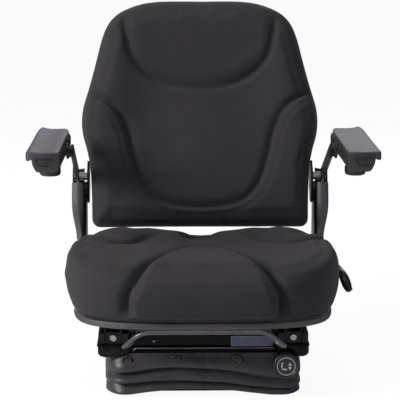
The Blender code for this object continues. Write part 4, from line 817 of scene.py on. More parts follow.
    def sew(self, piece: Piece) -> None:
        """Raise the front arch, press its groove and the rear creases, and gather the front hem.

        Args:
            piece: The cushion's mesh.
        """
        points, facing = coordinates(piece.data), normals(piece.data)
        x, y, z = points.T
        along = self.unrolled(points)
        upper = smoothstep(z, 0.158, 0.176) * smoothstep(facing[:, 2] - facing[:, 1] * 0.9, 0.05, 0.45)
        gap, _ = self.arch.measure(x, along)
        inside, outside = np.maximum(gap, 0.0), np.maximum(-gap, 0.0)
        is_inside = np.where(gap > 0, 1.0, 0.0)
        apex = smoothstep(along, 0.00, 0.12)
        raised = (0.0120 - 0.0076 * apex) * smoothstep(inside, 0.0, 0.020) * is_inside
        lip = 0.0030 * bell(inside - 0.0050, 0.0040) * is_inside * (1 - 0.5 * apex)
        depth = 0.0150 - 0.0095 * apex
        groove = depth * np.where(gap > 0, bell(inside, 0.0036), bell(outside, 0.0125))
        push = (raised + lip - groove) * upper
        gap, _ = self.crease.measure(np.abs(x), y)
        top_only = smoothstep(facing[:, 2], 0.2, 0.7) * smoothstep(np.abs(x), 0.060, 0.105)
        push += (-0.0085 * bell(gap, 0.0075) + 0.0045 * bell(gap - 0.030, 0.018)) * top_only
        ahead = smoothstep(-y, 0.180, 0.225) * smoothstep(0.200 - z, 0.0, 0.035)
        ribs = np.sin(x * math.tau / self.gather + 1.5 * np.sin(x * 61.0))
        push += self.gather_depth * ribs * ahead * smoothstep(0.16 - np.abs(x), 0.0, 0.05)
        points += facing * push[:, None]
        limit = np.interp(np.abs(x), *zip(*self.notch))
        limit += 0.0150 * (1 - smoothstep(y, 0.030, 0.075))
        lowered = (y > 0.030) & (facing[:, 2] > 0.2)
        points[:, 2] = np.where(lowered, np.minimum(points[:, 2], limit), points[:, 2])
        put_back(piece, points)
        smooth_shape(piece, 1, 0.35)


@dataclass
class BackCushion(PaddedPiece):
    """The backrest cushion: a head panel, a U-shaped middle panel between side wings, and a straight foot."""

    hinge_y: float = 0.165
    hinge_z: float = 0.310
    lean: float = math.radians(14.0)
    low: float = -0.070
    high: float = 0.3745
    seam: float = 0.0195
    gather: float = 0.0064
    gather_depth: float = 0.00035
    widths: SeamLine = SeamLine((
        (0.2110, -0.060), (0.2120, -0.010), (0.2145, 0.040), (0.2215, 0.082), (0.2290, 0.108),
        (0.2318, 0.134), (0.2290, 0.164), (0.2180, 0.200), (0.2045, 0.250), (0.1920, 0.300), (0.1785, 0.331),
        (0.1565, 0.352), (0.1225, 0.3665), (0.0900, 0.3730), (0.0400, 0.3745)), steps=4)
    head_seam: SeamLine = SeamLine(mirrored_line([
        (0.148, 0.352), (0.143, 0.300), (0.134, 0.262), (0.114, 0.236), (0.086, 0.216), (0.050, 0.203),
        (0.0, 0.198)]))
    wing_seam: SeamLine = SeamLine(mirrored_line([
        (0.232, 0.192), (0.206, 0.186), (0.184, 0.174), (0.160, 0.152), (0.143, 0.112), (0.132, 0.064),
        (0.116, 0.018), (0.090, -0.014), (0.052, -0.029), (0.0, -0.033)]))
    pleats: tuple[float, ...] = (0.047, 0.052, -0.038)

    def outline(self, shrink: float, count: int = 120) -> list[Flat]:
        """Return the outline seen from the front, shrunk by a distance."""
        right = [tuple(point) for point in self.widths.route()]
        corner = right[0][1] - self.low
        foot = [(right[0][0] - corner * (1 - math.sin(turn)), self.low + corner * (1 - math.cos(turn)))
                for turn in (0.0, math.pi / 6, math.pi / 3)]
        side = foot + right + [(0.0, self.high + 0.0003)]
        loop = side + [(-x, up) for x, up in reversed(side[:-1])]
        rows = np.array(loop + [loop[0]])
        lengths = np.concatenate([[0.0], np.cumsum(np.linalg.norm(np.diff(rows, axis=0), axis=1))])
        even = np.linspace(0.0, lengths[-1], count, endpoint=False)
        plan = np.column_stack([np.interp(even, lengths, rows[:, 0]), np.interp(even, lengths, rows[:, 1])])
        way = np.roll(plan, -1, axis=0) - np.roll(plan, 1, axis=0)
        way /= np.linalg.norm(way, axis=1, keepdims=True)
        inward = np.column_stack([-way[:, 1], way[:, 0]])
        return [tuple(p) for p in plan + inward * shrink]

    def place(self, x: float, depth: float, up: float) -> Point:
        """Return the place of a point given in the leaning backrest."""
        return (x, self.hinge_y + depth * math.cos(self.lean) + up * math.sin(self.lean),
                self.hinge_z - depth * math.sin(self.lean) + up * math.cos(self.lean))

    def rings(self) -> list[list[Point]]:
        """Return the cushion's shell from its back round its edge to its front."""
        round_edge = ((0.060, self.seam - 0.001), (0.014, self.seam - 0.001), (0.006, self.seam - 0.004),
                      (0.002, self.seam - 0.012), (0.0015, -0.008), (0.003, -0.024), (0.009, -0.038),
                      (0.018, -0.0465))
        across_front = ((1.0, -0.0495), (0.93, -0.0488), (0.82, -0.0458), (0.68, -0.0408), (0.52, -0.0368),
                        (0.36, -0.0348), (0.20, -0.0340), (0.07, -0.0340))
        rings = [[self.place(x, depth, up) for x, up in self.outline(shrink)]
                 for shrink, depth in round_edge]
        middle = (self.low + self.high) / 2
        edge = self.outline(0.030)
        for share, depth in across_front:
            rings.append([self.place(x * share, depth, middle + (up - middle) * share) for x, up in edge])
        return rings

    def sew(self, piece: Piece) -> None:
        """Raise the wings and the head panel, and press the seams between them.

        Args:
            piece: The backrest cushion's mesh.
        """
        points, facing = coordinates(piece.data), normals(piece.data)
        forward = np.array([0.0, -math.cos(self.lean), math.sin(self.lean)])
        upward = np.array([0.0, math.sin(self.lean), math.cos(self.lean)])
        hinge = np.array([0.0, self.hinge_y, self.hinge_z])
        x = points[:, 0]
        up = (points - hinge) @ upward
        ahead = smoothstep(facing @ forward, 0.10, 0.75)
        gap = -self.wing_seam.measure(x, up)[0]
        panel, wing = np.maximum(gap, 0.0), np.maximum(-gap, 0.0)
        is_wing = np.where(gap < 0, 1.0, 0.0)
        low_part = smoothstep(0.200 - up, 0.0, 0.030)
        foot = smoothstep(np.abs(x), 0.030, 0.150) * 0.6 + 0.4
        raised = 0.0105 * smoothstep(wing, -0.002, 0.024) * is_wing * foot
        lip = 0.0030 * bell(wing - 0.0060, 0.0045) * is_wing
        groove = 0.0080 * np.where(gap < 0, bell(wing, 0.0038), bell(panel, 0.0110))
        push = (raised + lip - groove) * low_part
        gap, share = self.head_seam.measure(x, up)
        gap = -gap
        head, below = np.maximum(gap, 0.0), np.maximum(-gap, 0.0)
        soft = 0.55 + 0.45 * smoothstep(np.abs(x), 0.02, 0.11)
        ends = smoothstep(share, 0.0, 0.10) * smoothstep(1 - share, 0.0, 0.10)
        raised = 0.0055 * smoothstep(head, 0.0, 0.030) * np.where(gap > 0, 1.0, 0.0)
        groove = 0.0084 * np.where(gap > 0, bell(head, 0.0100), bell(below, 0.0055)) * ends
        push += raised * smoothstep(0.372 - up, 0.0, 0.04) - groove * soft
        push += 0.0055 * bell(up - 0.070, 0.085) * bell(x, 0.090)
        push += 0.0070 * bell(np.abs(x) - 0.160, 0.034) * smoothstep(up, 0.100, 0.180)
        for where in self.pleats:
            push -= 0.0014 * bell(x - where, 0.0016) * smoothstep(-0.036 - up, 0.0, 0.012)
        ribs = np.sin(x * math.tau / self.gather + 1.2 * np.sin(x * 57.0))
        push += self.gather_depth * ribs * smoothstep(-0.040 - up, 0.0, 0.02) * bell(x, 0.11)
        points += forward[None, :] * (push * ahead)[:, None]
        put_back(piece, points)
        smooth_shape(piece, 2, 0.35)


def rounded_route(corners: Sequence[Point], radius: float, steps: int = 8) -> list[Vector]:
    """Return a route through corners, each rounded by a smooth bend.

    Args:
        corners: The route's corners.
        radius: How far from its corner a bend starts.
        steps: The number of points in each bend.

    Returns:
        The route's points.
    """
    places = [Vector(corner) for corner in corners]
    route = [places[0]]
    for before, corner, after in zip(places, places[1:], places[2:]):
        start = corner + (before - corner).normalized() * min(radius, (before - corner).length * 0.48)
        end = corner + (after - corner).normalized() * min(radius, (after - corner).length * 0.48)
        for step in range(steps + 1):
            t = step / steps
            route.append(start * (1 - t) ** 2 + corner * 2 * t * (1 - t) + end * t ** 2)
    route.append(places[-1])
    return route


def tube(route: Sequence[Vector], radii: Sequence[Flat], sides: int = 20) -> Skin:
    """Sweep an ellipse along a route, with closed ends.

    Args:
        route: The points of the route.
        radii: The two radii at each point, across and upward.
        sides: The number of points round the tube.

    Returns:
        The points and the faces.
    """
    rings = []
    normal = Vector((0, 0, 1))
    for index, place in enumerate(route):
        way = (route[min(index + 1, len(route) - 1)] - route[max(index - 1, 0)]).normalized()
        normal = (normal - way * normal.dot(way)).normalized()
        side = way.cross(normal)
        across, upward = radii[index]
        rings.append([place + side * across * u + normal * upward * v for u, v in circle(sides)])
    return loft(rings)


def turned(profile: Sequence[Flat], centre: Point, axis: Point, sides: int = 48) -> Skin:
    """Turn a profile about an axis.

    Args:
        profile: Rows of a radius and a distance along the axis.
        centre: Where the distance is zero.
        axis: The axis's way.
        sides: The number of points round it.

    Returns:
        The points and the faces.
    """
    way = Vector(axis).normalized()
    first = way.orthogonal().normalized()
    second = way.cross(first)
    return loft([[Vector(centre) + way * along + (first * u + second * v) * radius for u, v in circle(sides)]
                 for radius, along in profile])


def merged(parts: Iterable[Skin]) -> Skin:
    """Join several bodies' points and faces into one list."""
    points: list = []
    faces: list = []
    for more, skins in parts:
        start = len(points)
        points.extend(more)
        faces.extend(tuple(start + i for i in face) for face in skins)
    return points, faces


def slab(outline: Sequence[Flat], place: Callable[[float, float, float], Point], low: float,
         high: float) -> Skin:
    """Return a flat outline given a thickness.

    Args:
        outline: The outline's points in its own plane.
        place: Turns a point of the plane and a depth into a place.
        low: The depth of one side.
        high: The depth of the other.

    Returns:
        The points and the faces.
    """
    return loft([[place(u, v, depth) for u, v in outline] for depth in (low, high)])


def upright(u: float, v: float, depth: float) -> Point:
    """Return the place of a point on an upright plane that faces forward."""
    return (u, depth, v)


def crisp(piece: Piece, width: float, segments: int) -> None:
    """Round a hard piece's edges by a small bevel and keep its flat faces flat."""
    steep = math.radians(35)
    edges = piece.modifiers.new("edges", "BEVEL")
    edges.width, edges.segments = width, segments
    edges.limit_method, edges.angle_limit = "ANGLE", steep
    keep_mesh(piece)
    piece.data.set_sharp_from_angle(angle=steep)


def settle(piece: Piece, body: str, slot: str, *nodes: str) -> None:
    """Make a finished piece ride on its body and hide the nodes that it stands for."""
    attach(piece, body)
    if nodes:
        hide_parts(*nodes)
    LOG.info("%s: %d points on %s", piece.name, len(piece.data.vertices), body)


def fitted(name: str, skin: Skin, finish: Finish, body: str, slot: str, *nodes: str,
           bevel: tuple[float, int] | None = None, sharp: float = 0.0, finer: int = 0) -> None:
    """Make a piece of the scene from its skin and settle it on its body.

    Args:
        name: The piece's name.
        skin: Its points and faces.
        finish: The material that it is made of.
        body: The body that it rides on.
        slot: The slot of its material; not used.
        nodes: The CAD nodes that it stands for.
        bevel: The width and the segments of its rounded edges.
        sharp: The angle, in degrees, above which its edges look sharp.
        finer: How often it is subdivided.
    """
    piece = piece_from(name, *skin, finish)
    if finer:
        subdivide(piece, finer)
    if bevel:
        crisp(piece, *bevel)
    if sharp:
        piece.data.set_sharp_from_angle(angle=math.radians(sharp))
    settle(piece, body, slot, *nodes)


@dataclass
class RepeatTree:
    """A Geometry Nodes tree that repeats a small block along a path, turned with the path."""

    name: str
    size: Point
    spacing: float
    finish: Finish
    pivot: str = "Z"

    def tree(self) -> Tree:
        """Return the tree, with the spacing and the block's size as named inputs."""
        tree = bpy.data.node_groups.new(self.name, "GeometryNodeTree")
        for name, way, kind in (("Geometry", "INPUT", "Geometry"), ("Spacing", "INPUT", "Float"),
                                ("Block Size", "INPUT", "Vector"), ("Geometry", "OUTPUT", "Geometry")):
            tree.interface.new_socket(name, in_out=way, socket_type=f"NodeSocket{kind}")
        given = add_node(tree, "NodeGroupInput")
        path = add_node(tree, "GeometryNodeMeshToCurve", links={0: given.outputs["Geometry"]})
        even = add_node(tree, "GeometryNodeResampleCurve",
                        links={"Curve": path.outputs[0], "Length": given.outputs["Spacing"]}, mode="LENGTH")
        block = add_node(tree, "GeometryNodeMeshCube", links={"Size": given.outputs["Block Size"]})
        tangent = add_node(tree, "GeometryNodeInputTangent")
        turn = add_node(tree, "FunctionNodeAlignRotationToVector",
                        links={"Vector": tangent.outputs[0]}, axis="X", pivot_axis=self.pivot)
        copies = add_node(tree, "GeometryNodeInstanceOnPoints",
                          links={"Points": even.outputs[0], "Instance": block.outputs["Mesh"],
                                 "Rotation": turn.outputs[0]})
        real = add_node(tree, "GeometryNodeRealizeInstances", links={0: copies.outputs[0]})
        dressed = add_node(tree, "GeometryNodeSetMaterial", {"Material": self.finish.material()},
                           {"Geometry": real.outputs[0]})
        result = add_node(tree, "NodeGroupOutput")
        tree.links.new(dressed.outputs[0], result.inputs[0])
        return tree

    def along(self, name: str, path: Sequence[Sequence[float]], closed: bool = False) -> Piece:
        """Repeat the block along a path of points.

        Args:
            name: The new piece's name.
            path: The points of the path.
            closed: Whether its end joins its start.

        Returns:
            The piece, as a plain mesh at the origin.
        """
        mesh = bpy.data.meshes.new(name)
        edges = [(i, i + 1) for i in range(len(path) - 1)] + ([(len(path) - 1, 0)] if closed else [])
        mesh.from_pydata([tuple(p) for p in path], edges, [])
        piece = put_in_scene(name, mesh)
        maker = piece.modifiers.new("repeat", "NODES")
        maker.node_group = self.tree()
        given = {"Spacing": self.spacing, "Block Size": self.size}
        for item in maker.node_group.interface.items_tree:
            if item.in_out == "INPUT" and item.name in given:
                maker[item.identifier] = given[item.name]
        keep_mesh(piece)
        piece.data.shade_flat()
        return piece


@dataclass
class FoldedBoot:
    """The folded boot round the suspension: three soft rolls, two creases and a hem that arches in front.

    Its upper edge is clamped. In front it hangs before the cross plate, round the weight knob's spindle.
    """

    name: str = "boot_of_coated_cloth"
    half: float = 0.1725
    front: float = -0.1725
    rear: float = 0.1720
    corner: float = 0.036
    top: float = 0.0800
    foot: float = 0.0005
    rear_upper: float = 0.0490
    rear_lower: float = 0.0255
    clamp: float = -0.0050
    crease: float = -0.0080
    hem_crease: float = -0.0060
    front_clamp: float = 0.0006
    front_crease: float = 0.0003
    wall: float = 0.0016
    around: int = 420
    rows: int = 58
    spindle_x: float = 0.146
    opening: Point = (0.0095, 0.0395, 0.0760)
    seam_x: float = 0.006
    seam_depth: float = 0.0012
    upper_fold: tuple[Flat, ...] = (
        (-0.18, 0.0430), (-0.15, 0.0440), (-0.12, 0.0480), (-0.09, 0.0535), (-0.06, 0.0560), (-0.02, 0.0550),
        (0.03, 0.0515), (0.06, 0.0460), (0.09, 0.0390), (0.12, 0.0335), (0.15, 0.0320), (0.18, 0.0345))
    lower_fold: tuple[Flat, ...] = (
        (-0.18, 0.0285), (-0.15, 0.0275), (-0.12, 0.0290), (-0.09, 0.0315), (-0.06, 0.0320), (-0.02, 0.0315),
        (0.03, 0.0290), (0.06, 0.0255), (0.09, 0.0215), (0.12, 0.0180), (0.15, 0.0170), (0.18, 0.0185))
    hem: tuple[Flat, ...] = (
        (-0.18, 0.0015), (-0.15, 0.0015), (-0.13, 0.0020), (-0.10, 0.0065), (-0.06, 0.0105), (-0.02, 0.0120),
        (0.03, 0.0115), (0.06, 0.0090), (0.09, 0.0050), (0.12, 0.0010), (0.18, 0.0005))

    def levels(self, x: float) -> tuple[float, float, float]:
        """Return the heights of the hem, the lower and the upper crease at a place across the front."""
        tables = (self.hem, self.lower_fold, self.upper_fold)
        return tuple(float(np.interp(x, *zip(*table))) for table in tables)

    def rings(self) -> list[list[Point]]:
        """Return the boot's rings from the hem to the clamped band."""
        plan = rounded_rectangle(self.half, self.front, self.rear, self.corner, self.around)
        columns = []
        for index, (x, y) in enumerate(plan):
            ahead = float(smoothstep(-y, 0.02, 0.12))
            hem, lower, upper = (rear + (level - rear) * ahead for rear, level in zip(
                (self.foot, self.rear_lower, self.rear_upper), self.levels(x)))
            before, after = Vector(plan[index - 1]), Vector(plan[(index + 1) % len(plan)])
            way = (after - before).normalized()
            outward = Vector((way.y, -way.x))
            turn = index * math.tau
            swell = 1.0 + 0.10 * math.sin(turn / 41) + 0.06 * math.sin(turn / 23 + 1.0)
            knob = 1.0 - 0.30 * ahead * float(bell(x - self.spindle_x, 0.036))
            full = (0.0045 + 0.0085 * ahead * float(smoothstep(0.172 - abs(x), 0.0, 0.03))) * swell * knob
            seam = self.seam_depth * float(bell(x - self.seam_x, 0.0016)) * ahead
            column = []
            for number in range(self.rows):
                level, proud = self.profile(number / (self.rows - 1), hem, lower, upper, full, ahead)
                column.append((x + outward.x * (proud - seam), y + outward.y * (proud - seam), level))
            columns.append(column)
        return [[column[number] for column in columns] for number in range(self.rows)]

    def profile(self, share: float, hem: float, lower: float, upper: float, full: float,
                ahead: float = 1.0) -> Flat:
        """Return the height and how far the cloth stands proud at a share of the way up.

        Args:
            share: From 0 at the hem to 1 at the clamp.
            hem: The hem's height here.
            lower: The lower crease's height.
            upper: The upper crease's height.
            full: How far a roll stands proud here.
            ahead: 1 on the front, where the cloth hangs before the cross plate, and 0 elsewhere.

        Returns:
            The height and the stand-off.
        """
        levels = (hem, lower, upper, self.top)
        shares = (0.0, 0.30, 0.62, 1.0)
        deep = self.crease + (self.front_crease - self.crease) * ahead
        clamp = self.clamp + (self.front_clamp - self.clamp) * ahead
        creases = (self.hem_crease, deep, deep, clamp)
        roll = next((number for number in range(3) if share <= shares[number + 1]), 2)
        t = (share - shares[roll]) / (shares[roll + 1] - shares[roll])
        low, high = levels[roll], levels[roll + 1]
        fullness = 1.0 if roll else 0.75
        drop = 0.0034 * math.sin(math.pi * min(1.0, t / 0.34)) if roll else 0.0
        out = math.sin(math.pi / 2 * min(1.0, t / 0.22)) ** 0.8
        stand = creases[roll] + (full * fullness - creases[roll]) * out
        stand += (creases[roll + 1] - stand) * float(smoothstep(t, 0.22, 1.0))
        return low + (high - low) * t - drop, stand

    def build(self) -> None:
        """Build the boot, open round the spindle."""
        points, faces = loft(self.rings(), closed_ends=False)
        reach, slot_low, slot_high = self.opening

        def near(face: Sequence[int]) -> bool:
            middle = np.mean([points[i] for i in face], axis=0)
            beside = abs(middle[0] - self.spindle_x)
            return middle[1] < self.front + 0.02 and beside < reach and slot_low < middle[2] < slot_high

        piece = piece_from(self.name, points, [face for face in faces if not near(face)], COATED_POLYESTER)
        wall = piece.modifiers.new("cloth_wall", "SOLIDIFY")
        wall.thickness, wall.offset = self.wall, -1.0
        keep_mesh(piece)
        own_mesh(piece)
        settle(piece, "base", "boot", "folded_boot")


@dataclass
class ArmrestTop:
    """An armrest's foam-skin top: a dished pad with a lip that rises towards its rear outer corner."""

    side_name: str
    middle: float = 0.2755
    half: float = 0.0296
    front: float = -0.2058
    rear: float = 0.098
    seam: float = 0.4362
    top: float = 0.4478
    splay: float = 0.0040

    def section(self, share: float) -> list[Point]:
        """Return the pad's section at a share of its length."""
        y = self.front + (self.rear - self.front) * share
        end = 1 - min(1.0, share / 0.035)
        tail = max(0.0, (share - 0.955) / 0.045)
        narrow = 0.0040 * end ** 2 + 0.0050 * tail ** 2 + 0.006 * max(0.0, (share - 0.80) / 0.20) ** 2
        height = self.top - self.seam - 0.0016 * end ** 2 - 0.0035 * tail ** 2
        middle = self.middle + self.splay * (1 - share)
        points = []
        for across, along in circle(44):
            x, z = powered(across, 2 / 5.0), powered(along, 2 / 3.4)
            outer = max(0.0, x)
            level = self.seam + height * (z * 0.5 + 0.5)
            if z > 0.2:
                dish = 0.0026 * math.exp(-((x / 0.60) ** 2)) * (1 - end) * (1 - tail)
                lip = (0.0012 * outer ** 3 + 0.0070 * outer ** 5 * share ** 3) * (1 - tail ** 3)
                level += (lip - dish) * min(1.0, z)
            else:
                level -= 0.0065 * float(smoothstep(x, 0.80, 0.97)) * (1 - share * 0.4)
            points.append((middle + x * (self.half - narrow), y, level))
        return points

    def build(self) -> None:
        """Build the pad on one side."""
        side = SIDES[self.side_name]
        shares = [0.0, 0.006, 0.014, 0.024, 0.035, *np.linspace(0.06, 0.94, 30), 0.965, 0.978, 0.990, 1.0]
        rings = [[(side * x, y, z) for x, y, z in self.section(share)] for share in shares]
        piece = piece_from(f"armrest_top_{self.side_name}", *loft(rings), FOAM_SKIN)
        subdivide(piece)
        settle(piece, f"armrest_{self.side_name}", "rest_skin", f"armrest_pad_{self.side_name}")


@dataclass
class PanRim:
    """The moulded rim round the seat pan: a smooth band with fine upright ribs across its front."""

    cushion: SeatCushion
    low: float = 0.1405
    high: float = 0.1520
    wall: float = 0.0014
    rib: Point = (0.0011, 0.0014, 0.0070)
    rib_spacing: float = 0.0052
    ribbed_before: float = -0.12

    def build(self) -> None:
        """Build the band and its ribs."""
        profile = ((0.0003, self.low + 0.0030), (0.0012, self.low + 0.0008), (0.0022, self.low),
                   (self.wall + 0.0008, self.low + 0.0030), (self.wall + 0.0006, self.high - 0.0020),
                   (self.wall - 0.0004, self.high), (0.0003, self.high - 0.0004))
        rings = [[(x, y, z) for x, y in self.cushion.outline(grow)] for grow, z in profile]
        fitted("rim_of_ribbed_polypropylene", loft(rings, joined=True), RIM_POLYPROPYLENE, "seat", "plastic",
               finer=1)
        front = [(x, y, (self.low + self.high) / 2)
                 for x, y in self.cushion.outline(self.wall + 0.0006, 288) if y < self.ribbed_before]
        row = RepeatTree("rim_rib_row", self.rib, self.rib_spacing, RIM_POLYPROPYLENE)
        settle(row.along("rim_ribs", sorted(front)), "seat", "plastic")


@dataclass
class ReleaseBar:
    """The bent bar that frees the slides: a slim painted rod with a grip raised in front."""

    radius: float = 0.0037
    bend: float = 0.017
    right: tuple[Point, ...] = (
        (0.1490, -0.100, 0.1228), (0.1220, -0.100, 0.1228), (0.1220, -0.2500, 0.1210),
        (0.1450, -0.2600, 0.1112), (0.1095, -0.2758, 0.1440))

    def build(self) -> None:
        """Build the bar."""
        left = tuple((-x, y, z) for x, y, z in reversed(self.right))
        route = rounded_route(self.right + left, self.bend)
        # The bar's pale grey finish is a painted highlight of the light along it.
        fitted("release_bar_of_painted_rod", tube(route, [(self.radius, self.radius)] * len(route), 24),
               BAR_STEEL_WITH_PAINTED_HIGHLIGHT, "release_bar", "black_steel", "slide_release_bar")


@dataclass
class FrontPlateDetails:
    """The cross plate's painted ridge highlight, its blank film label with a silver edge, and one rivet."""

    face: float = -0.1718
    label: tuple[float, float, float, float] = (0.050, 0.1225, 0.0925, 0.1095)
    edge: float = 0.0008
    ridge_z: float = 0.0886
    rivet: Flat = (-0.0881, 0.1013)

    def strip(self, x0: float, x1: float, z0: float, z1: float, proud: float) -> Skin:
        """Return a flat strip on the plate's face."""
        outline = [(x0, z0), (x1, z0), (x1, z1), (x0, z1)]
        return slab(outline, upright, self.face - proud, self.face + 0.0004)

    def build(self) -> None:
        """Build the details."""
        x0, x1, z0, z1 = self.label
        fitted("blank_label_of_film", self.strip(x0, x1, z0, z1, 0.0003), PRINTED_FILM, "suspended_frame",
               "plastic", bevel=(0.0001, 1))
        wide0, wide1 = x0 - self.edge, x1 + self.edge
        strips = ((wide0, wide1, z1, z1 + self.edge), (wide0, wide1, z0 - self.edge, z0), (wide0, x0, z0, z1),
                  (x1, wide1, z0, z1), (x0 + 0.018, x0 + 0.0186, z0, z1))
        fitted("label_edge_of_silver", merged(self.strip(*strip, 0.00035) for strip in strips),
               SILVER_EDGE_AND_RIDGE_HIGHLIGHT, "suspended_frame", "zinc", bevel=(0.00008, 1))
        # A bright silver tube along the pressed ridge, dropping at its ends, is a painted highlight where the
        # ridge catches the light.
        ridge = [Vector((x, self.face + back, self.ridge_z - drop)) for x, back, drop in (
            (-0.1260, 0.0003, 0.0060), (-0.1215, -0.0004, 0.0004), (-0.1180, -0.0004, 0.0),
            (0.1240, -0.0004, 0.0), (0.1285, 0.0003, 0.0050))]
        fitted("ridge_highlight_of_plate", tube(ridge, [(0.0012, 0.0009)] * len(ridge), 12), SILVER_EDGE_AND_RIDGE_HIGHLIGHT,
               "suspended_frame", "black_steel")
        profile = ((0.0, 0.0012), (0.0012, 0.0010), (0.0021, 0.0004), (0.0023, -0.0003), (0.0, -0.0003))
        fitted("rivet_of_plate", turned(profile, (self.rivet[0], self.face, self.rivet[1]), FORWARD, 20),
               ZINC_PLATED_STEEL, "suspended_frame", "zinc")


@dataclass
class BootClip:
    """A push clip that holds the boot's upper edge: a wide dished head with a raised rim and a paler ring on
    the rim that is a painted highlight.
    """

    number: int
    x: float
    z: float = 0.0690
    seat: float = -0.1765
    head: float = 0.0086
    rim: float = 0.0077
    highlight_wire: float = 0.0006

    def build(self) -> None:
        """Build the clip."""
        profile = ((0.0, 0.0040), (0.0030, 0.0042), (0.0050, 0.0034), (0.0060, 0.0024), (0.0068, 0.0048),
                   (self.rim, 0.0054), (self.head, 0.0042), (self.head + 0.0002, 0.0010),
                   (self.head - 0.0004, 0.0), (0.0032, 0.0), (0.0030, -0.0100), (0.0, -0.0110))
        fitted(f"push_clip_{self.number}", turned(profile, (self.x, self.seat, self.z), FORWARD, 40),
               SMOOTH_POLYAMIDE, "suspended_frame", "plastic", f"boot_clip_{self.number}")
        # The paler ring on the rim is a painted highlight where the rim catches the light.
        ring = circle(36, self.rim)
        loop = [Vector((self.x + u, self.seat - 0.0052, self.z + v)) for u, v in ring + ring[:1]]
        fitted(f"push_clip_rim_highlight_{self.number}", tube(loop, [(self.highlight_wire, self.highlight_wire)] * len(loop), 8),
               COVER_POLYPROPYLENE, "suspended_frame", "plastic")


@dataclass
class KnobFace:
    """The weight knob: a fluted rim, a bezel and a light printed ring with a plain seat sign."""

    x: float = 0.146
    z: float = 0.063
    front: float = -0.2062
    back: float = -0.1850
    radius: float = 0.0240
    flute: Point = (0.0018, 0.0130, 0.0012)
    flutes: int = 30

    def at(self, u: float, v: float, depth: float) -> Point:
        """Return the place of a point on the knob's face."""
        return (self.x + u, depth, self.z + v)

    def build(self) -> None:
        """Build the knob."""
        reach = self.back - self.front
        profile = ((0.0, reach - 0.0012), (0.0175, reach - 0.0012), (0.0185, reach - 0.0010),
                   (0.0195, reach), (0.0212, reach), (0.0230, reach - 0.0014), (self.radius, reach - 0.0040),
                   (self.radius - 0.0008, 0.0012), (self.radius - 0.0020, 0.0), (0.0, 0.0))
        fitted("weight_knob_of_polyamide", turned(profile, (self.x, self.back, self.z), FORWARD, 72),
               SMOOTH_POLYAMIDE, "weight_setting", "plastic", "weight_knob", sharp=40)
        middle = (self.front + self.back) / 2 - 0.001
        grip = [self.at(u, v, middle) for u, v in circle(60, self.radius - 0.0001)]
        row = RepeatTree("knob_flute_row", self.flute, math.tau * self.radius / self.flutes,
                         SMOOTH_POLYAMIDE, "Y")
        settle(row.along("knob_flutes", grip, closed=True), "weight_setting", "plastic")
        low, high = self.front + 0.0014, self.front + 0.0009
        ring = [[self.at(u, v, depth) for u, v in circle(64, r)]
                for r, depth in ((0.0152, low), (0.0152, high), (0.0163, high), (0.0163, low))]
        cushion = ((-0.0078, -0.0062), (0.0008, -0.0072), (0.0016, -0.0046), (-0.0052, -0.0036))
        back = ((-0.0092, -0.0030), (-0.0070, -0.0034), (-0.0056, 0.0066), (-0.0080, 0.0074))
        up = ((0.0036, 0.0012), (0.0096, 0.0012), (0.0066, 0.0070))
        down = ((0.0036, -0.0012), (0.0066, -0.0070), (0.0096, -0.0012))
        signs = [slab(outline, self.at, low, high) for outline in (cushion, back, up, down)]
        ink = piece_from("knob_sign_of_ink", *merged([loft(ring, joined=True), *signs]), PAD_PRINT_INK)
        ink.data.shade_flat()
        settle(ink, "weight_setting", "plastic")


@dataclass
class CoilSpring:
    """One carrying spring of round wire with closed ends."""

    side_name: str
    x: float = 0.060
    y: float = -0.065
    low: float = 0.0058
    high: float = 0.0736
    radius: float = 0.0200
    wire: float = 0.0021
    coils: float = 6.0
    closing: float = 0.035

    def build(self) -> None:
        """Build the spring."""
        side = SIDES[self.side_name]
        steps = int(self.coils * 30)
        route = []
        for index in range(steps + 1):
            share = index / steps
            rise = share - self.closing * math.sin(math.tau * share)
            angle = side * math.tau * self.coils * share
            route.append(Vector((side * self.x + self.radius * math.cos(angle),
                                 self.y + self.radius * math.sin(angle),
                                 self.low + (self.high - self.low) * rise)))
        points, faces = tube(route, [(self.wire, self.wire)] * len(route), 14)
        spring = piece_from(f"coil_spring_{self.side_name}", points, faces, SPRING_WIRE_STEEL)
        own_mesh(spring)
        settle(spring, "base", "spring_steel", f"carrying_spring_{self.side_name}")


@dataclass
class BootSeam:
    """The stitched seam down the boot's front, as a row of thread over each fold."""

    boot: FoldedBoot
    thread: Point = (0.0018, 0.0009, 0.0007)
    spacing: float = 0.0034
    fullness: float = 0.0120
    steps: int = 400

    def build(self) -> None:
        """Build the stitches on the boot's own section."""
        levels = self.boot.levels(self.boot.seam_x)
        path = []
        for step in range(self.steps):
            share = 0.02 + 0.96 * step / (self.steps - 1)
            level, proud = self.boot.profile(share, *levels, self.fullness)
            path.append((self.boot.seam_x, self.boot.front - proud + 0.0008, level))
        row = RepeatTree("boot_stitch_row", self.thread, self.spacing, SEWING_THREAD, "AUTO")
        stitches = row.along("boot_stitches", path)
        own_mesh(stitches)
        settle(stitches, "base", "boot")


